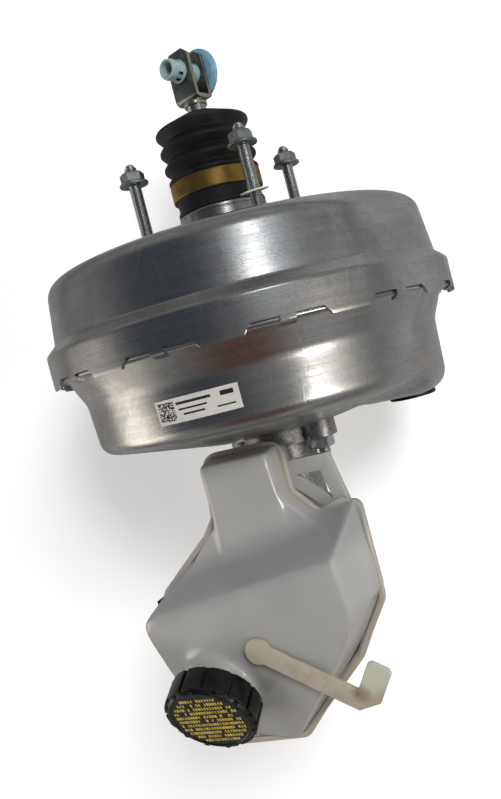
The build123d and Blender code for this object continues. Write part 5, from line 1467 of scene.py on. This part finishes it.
class BOOSTER_OT_cap(bpy.types.Operator):
    """Filler cap with grip panels and plain printed bars"""
    bl_idname = "booster.cap"
    bl_label = "Cap"

    def execute(self, context):
        high = CAP_HEIGHT
        points = [(23.4, 0.0), (25.6, 0.0), (25.8, 1.0), (25.8, high - 2.2), (24.0, high),
                  (22.6, high), (22.2, high - 0.5), (0.0, high - 0.5)]
        outer = rounded_line(points, [0.4, 0.5, 1.5, 0.8, 0.3, 0.4], 12.0)
        inner = [Vector((0.0, high - 2.6)), Vector((23.4, high - 2.6))]
        body = lathe(dense(outer + inner, 4.0), even_angles(144))
        top = Matrix.Rotation(math.pi / 2, 4, "X")
        panel = self.block(25.2, 26.95, 12.4, 0.4, high - 1.6)
        ribs = grow("cap_ribs", panel, around_tree(), {
            "Count": 12, "Material": paint("cap plastic")})
        bevel(ribs, 0.45, 3)
        lug = self.block(22.4, 25.4, 3.4, high - 2.0, high - 0.05)
        lugs = grow("cap_lugs", lug, around_tree(), {
            "Count": 12, "Material": paint("cap plastic")})
        bevel(lugs, 0.4, 2)
        marks = grow("cap_marks", points_form([(0, 0, 0)]), print_tree(), {
            "Radius": 20.6 * MM, "Material": paint("cap print")}, 30.0)
        cap = new_piece("cap_body", [body], [paint("cap plastic")], 40.0)
        place(cap, cap_matrix() @ top)
        place(ribs, cap_matrix() @ top)
        place(lugs, cap_matrix() @ top)
        place(marks, cap_matrix() @ Matrix.Translation((0.0, 0.0, (high - 0.5) * MM)))
        for piece in (cap, ribs, lugs, marks):
            fit(piece, "filler_cap", "cap")
        return {"FINISHED"}

    @staticmethod
    def block(inside, outside, half, low, high):
        """Curved block about the Y axis; half is half its angle in degrees."""
        turns = [(inside, half), (inside, 0.0), (inside, -half)]
        turns += [(outside, half * index / 4) for index in range(-4, 5)]
        outline = [(radius * math.cos(math.radians(turn)),
                    radius * math.sin(math.radians(turn))) for radius, turn in turns]
        form = prism(outline, -high, -low)
        bmesh.ops.transform(form, matrix=Matrix.Rotation(math.pi / 2, 4, "X"),
                            verts=form.verts)
        return form


class BOOSTER_OT_wiring_arm(bpy.types.Operator):
    """Beige arm with its hook on top of the tank"""
    bl_idname = "booster.wiring_arm"
    bl_label = "Wiring arm"

    def execute(self, context):
        form = flat_form("wiring_clip")
        piece = bevel(new_piece("wiring_clip_arm", [form], [paint("arm plastic")]), 0.7, 3)
        fit(piece, "housing", "wiring_clip")
        return {"FINISHED"}


class BOOSTER_OT_label(bpy.types.Operator):
    """Plain sticker with a block of squares and bars"""
    bl_idname = "booster.label"
    bl_label = "Label"

    def execute(self, context):
        settings = context.scene.booster_label
        wrap = wrap_tree()
        place_on_wall = {"Radius": 112.75 * MM, "Slope": 0.05, "Angle": math.radians(87.5),
                         "Height": -89.5 * MM}
        film = self.sheet(-24.0, 24.0, -6.5, 6.5, 0.0, 0.14)
        ink = paint("label ink")
        piece = grow("label_film", film, wrap, {**place_on_wall,
                                                "Material": paint("label film")}, 40.0)
        fit(piece, "housing", "data_label")
        code = grow("label_code", points_form([(0, 0, 0)]), squares_tree(), {
            "Size": 9.4 * MM, "Count": 18, "Seed": settings.seed, "Material": ink}, 40.0)
        place(code, Matrix.Translation((-17.6 * MM, 0.0, 0.17 * MM)))
        bars = ((-11.2, 8.8, 2.6, 4.0), (-10.4, 6.0, -0.4, 0.5), (-8.0, 4.2, -3.2, -2.2),
                (14.0, 21.0, 2.0, 4.4), (11.0, 21.0, -3.4, -2.6))
        marks = [self.sheet(*bar, 0.13, 0.2) for bar in bars]
        words = new_piece("label_words", marks, [ink], 40.0)
        for piece in (code, words):
            form = bmesh.new()
            form.from_mesh(piece.data)
            name = piece.name
            bpy.data.objects.remove(piece)
            done = grow(name, form, wrap, {**place_on_wall, "Material": ink}, 40.0)
            done.name = name
            fit(done, "housing", "data_label")
        return {"FINISHED"}

    def sheet(self, left, right, low, high, bottom, top):
        """Thin plate split along its length so that it can bend."""
        form = bmesh.new()
        count = max(2, math.ceil((right - left) / 2.0))
        rows = []
        for index in range(count + 1):
            x = left + (right - left) * index / count
            rows.append([form.verts.new(Vector((x, y, z)) * MM) for y, z in (
                (low, bottom), (high, bottom), (high, top), (low, top))])
        for first, second in zip(rows, rows[1:]):
            for index in range(4):
                after = (index + 1) % 4
                form.faces.new((first[index], first[after], second[after], second[index]))
        form.faces.new(rows[0])
        form.faces.new(rows[-1][::-1])
        bmesh.ops.recalc_face_normals(form, faces=form.faces)
        return form


class BOOSTER_OT_stage(bpy.types.Operator):
    """Floor, lamps, world and camera"""
    bl_idname = "booster.stage"
    bl_label = "Stage"

    def execute(self, context):
        settings = context.scene.booster_stage
        scene = context.scene
        scene.view_settings.view_transform = "Standard"
        self.floor(settings)
        self.world(settings, scene)
        self.lamps(settings, scene)
        self.camera(settings, scene)
        return {"FINISHED"}

    def floor(self, settings):
        low = CAD_BOX[0][2]
        form = bmesh.new()
        reach = 6.0
        corners = [form.verts.new((x * reach, y * reach, low - 0.001))
                   for x, y in ((-1, -1), (1, -1), (1, 1), (-1, 1))]
        form.faces.new(corners)
        floor = new_piece("floor", [form], [floor_paint("floor paint", settings.floor[:])])

    def world(self, settings, scene):
        world = bpy.data.worlds.new("studio")
        world.use_nodes = True
        scene.world = world
        tree = world.node_tree
        back = tree.nodes["Background"]
        direction = add(tree, "ShaderNodeTexCoord").outputs["Generated"]
        parts = add(tree, "ShaderNodeSeparateXYZ", inputs={0: direction}).outputs
        colour_of = ramp(tree, calc(tree, "MULTIPLY_ADD", parts[2], 0.5, 0.5),
                         (0.0, 0.50), (0.5, 0.46), (0.70, 0.36), (1.0, 0.22))
        patches = (((-0.35, 0.18, 0.92), 0.70, 0.97, (0.075, 0.09, 0.115, 1.0)),
                   ((0.56, 0.37, 0.74), 0.93, 0.995, (0.95, 1.03, 1.10, 1.0)),
                   ((0.10, -0.72, 0.68), 0.86, 0.98, (0.16, 0.085, 0.065, 1.0)),
                   ((-0.90, -0.30, 0.28), 0.90, 0.985, (2.7, 2.5, 2.2, 1.0)),
                   ((0.82, -0.24, 0.46), 0.93, 0.995, (1.9, 1.75, 1.5, 1.0)))
        for aim, edge, core, tone in patches:
            aim = tuple(Vector(aim).normalized())
            near = vector(tree, "DOT_PRODUCT", direction, aim)
            share = remap(tree, near, edge, core, smooth=True)
            colour_of = blend(tree, share, colour_of, tone)
        seen = add(tree, "ShaderNodeLightPath").outputs["Is Camera Ray"]
        colour_of = blend(tree, seen, colour_of, (1.25, 1.25, 1.25, 1.0))
        tree.links.new(colour_of, back.inputs["Color"])
        back.inputs["Strength"].default_value = settings.world

    def lamp(self, scene, name, place_of, target, size, power, glint=False):
        light = bpy.data.lights.new(name, "AREA")
        light.shape = "RECTANGLE"
        light.size, light.size_y = size
        light.energy = power
        lamp = bpy.data.objects.new(name, light)
        lamp.location = place_of
        aim = Vector(target) - Vector(place_of)
        lamp.rotation_euler = aim.to_track_quat("-Z", "Y").to_euler()
        lamp.visible_glossy = glint
        scene.collection.objects.link(lamp)

    def lamps(self, settings, scene):
        centre = (0.0, -0.09, 0.0)
        self.lamp(scene, "key", (0.72, 0.40, 0.98), centre, (0.36, 0.36), settings.key)
        self.lamp(scene, "fill", (-0.9, -0.5, 0.8), centre, (0.8, 0.8), settings.fill)
        self.lamp(scene, "glint", (0.62, 0.42, 0.98), centre, (0.16, 0.16),
                  settings.glint / 3, True)
        self.lamp(scene, "window", (0.95, -0.42, 0.72), centre, (0.14, 0.30),
                  settings.glint, True)

    def camera(self, settings, scene):
        data = bpy.data.cameras.new("camera")
        data.lens = settings.lens
        data.sensor_width = 36.0
        data.shift_x = settings.shift_x
        data.shift_y = settings.shift_y
        data.clip_start = 0.01
        camera = bpy.data.objects.new("camera", data)
        camera.location = settings.place
        camera.rotation_euler = settings.turn
        scene.collection.objects.link(camera)
        scene.camera = camera


class BOOSTER_PT_panel(bpy.types.Panel):
    """Sizes, colours and makers of the booster"""
    bl_idname = "BOOSTER_PT_panel"
    bl_label = "Brake booster"
    bl_space_type = "VIEW_3D"
    bl_region_type = "UI"
    bl_category = "Booster"

    def draw(self, context):
        for name, kind in SETTINGS.items():
            box = self.layout.box()
            box.label(text=kind.__doc__)
            for key in kind.__annotations__:
                box.prop(getattr(context.scene, name), key)
        for operator in OPERATORS:
            self.layout.operator(operator.bl_idname)


OPERATORS = (
    BOOSTER_OT_inner_parts,
    BOOSTER_OT_rear_shell,
    BOOSTER_OT_front_shell,
    BOOSTER_OT_vacuum_grommet,
    BOOSTER_OT_fasteners,
    BOOSTER_OT_boot,
    BOOSTER_OT_fork,
    BOOSTER_OT_cylinder,
    BOOSTER_OT_tank,
    BOOSTER_OT_cap,
    BOOSTER_OT_wiring_arm,
    BOOSTER_OT_label,
    BOOSTER_OT_stage,
)


def register():
    for name, kind in SETTINGS.items():
        bpy.utils.register_class(kind)
        setattr(bpy.types.Scene, name, PointerProperty(type=kind))
    for kind in OPERATORS + (BOOSTER_PT_panel,):
        bpy.utils.register_class(kind)


def unregister():
    for kind in (BOOSTER_PT_panel,) + OPERATORS[::-1]:
        bpy.utils.unregister_class(kind)
    for name, kind in SETTINGS.items():
        delattr(bpy.types.Scene, name)
        bpy.utils.unregister_class(kind)


def main():
    register()
    for operator in OPERATORS:
        group, name = operator.bl_idname.split(".")
        getattr(getattr(bpy.ops, group), name)()
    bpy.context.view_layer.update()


if __name__ == "__main__":
    main()
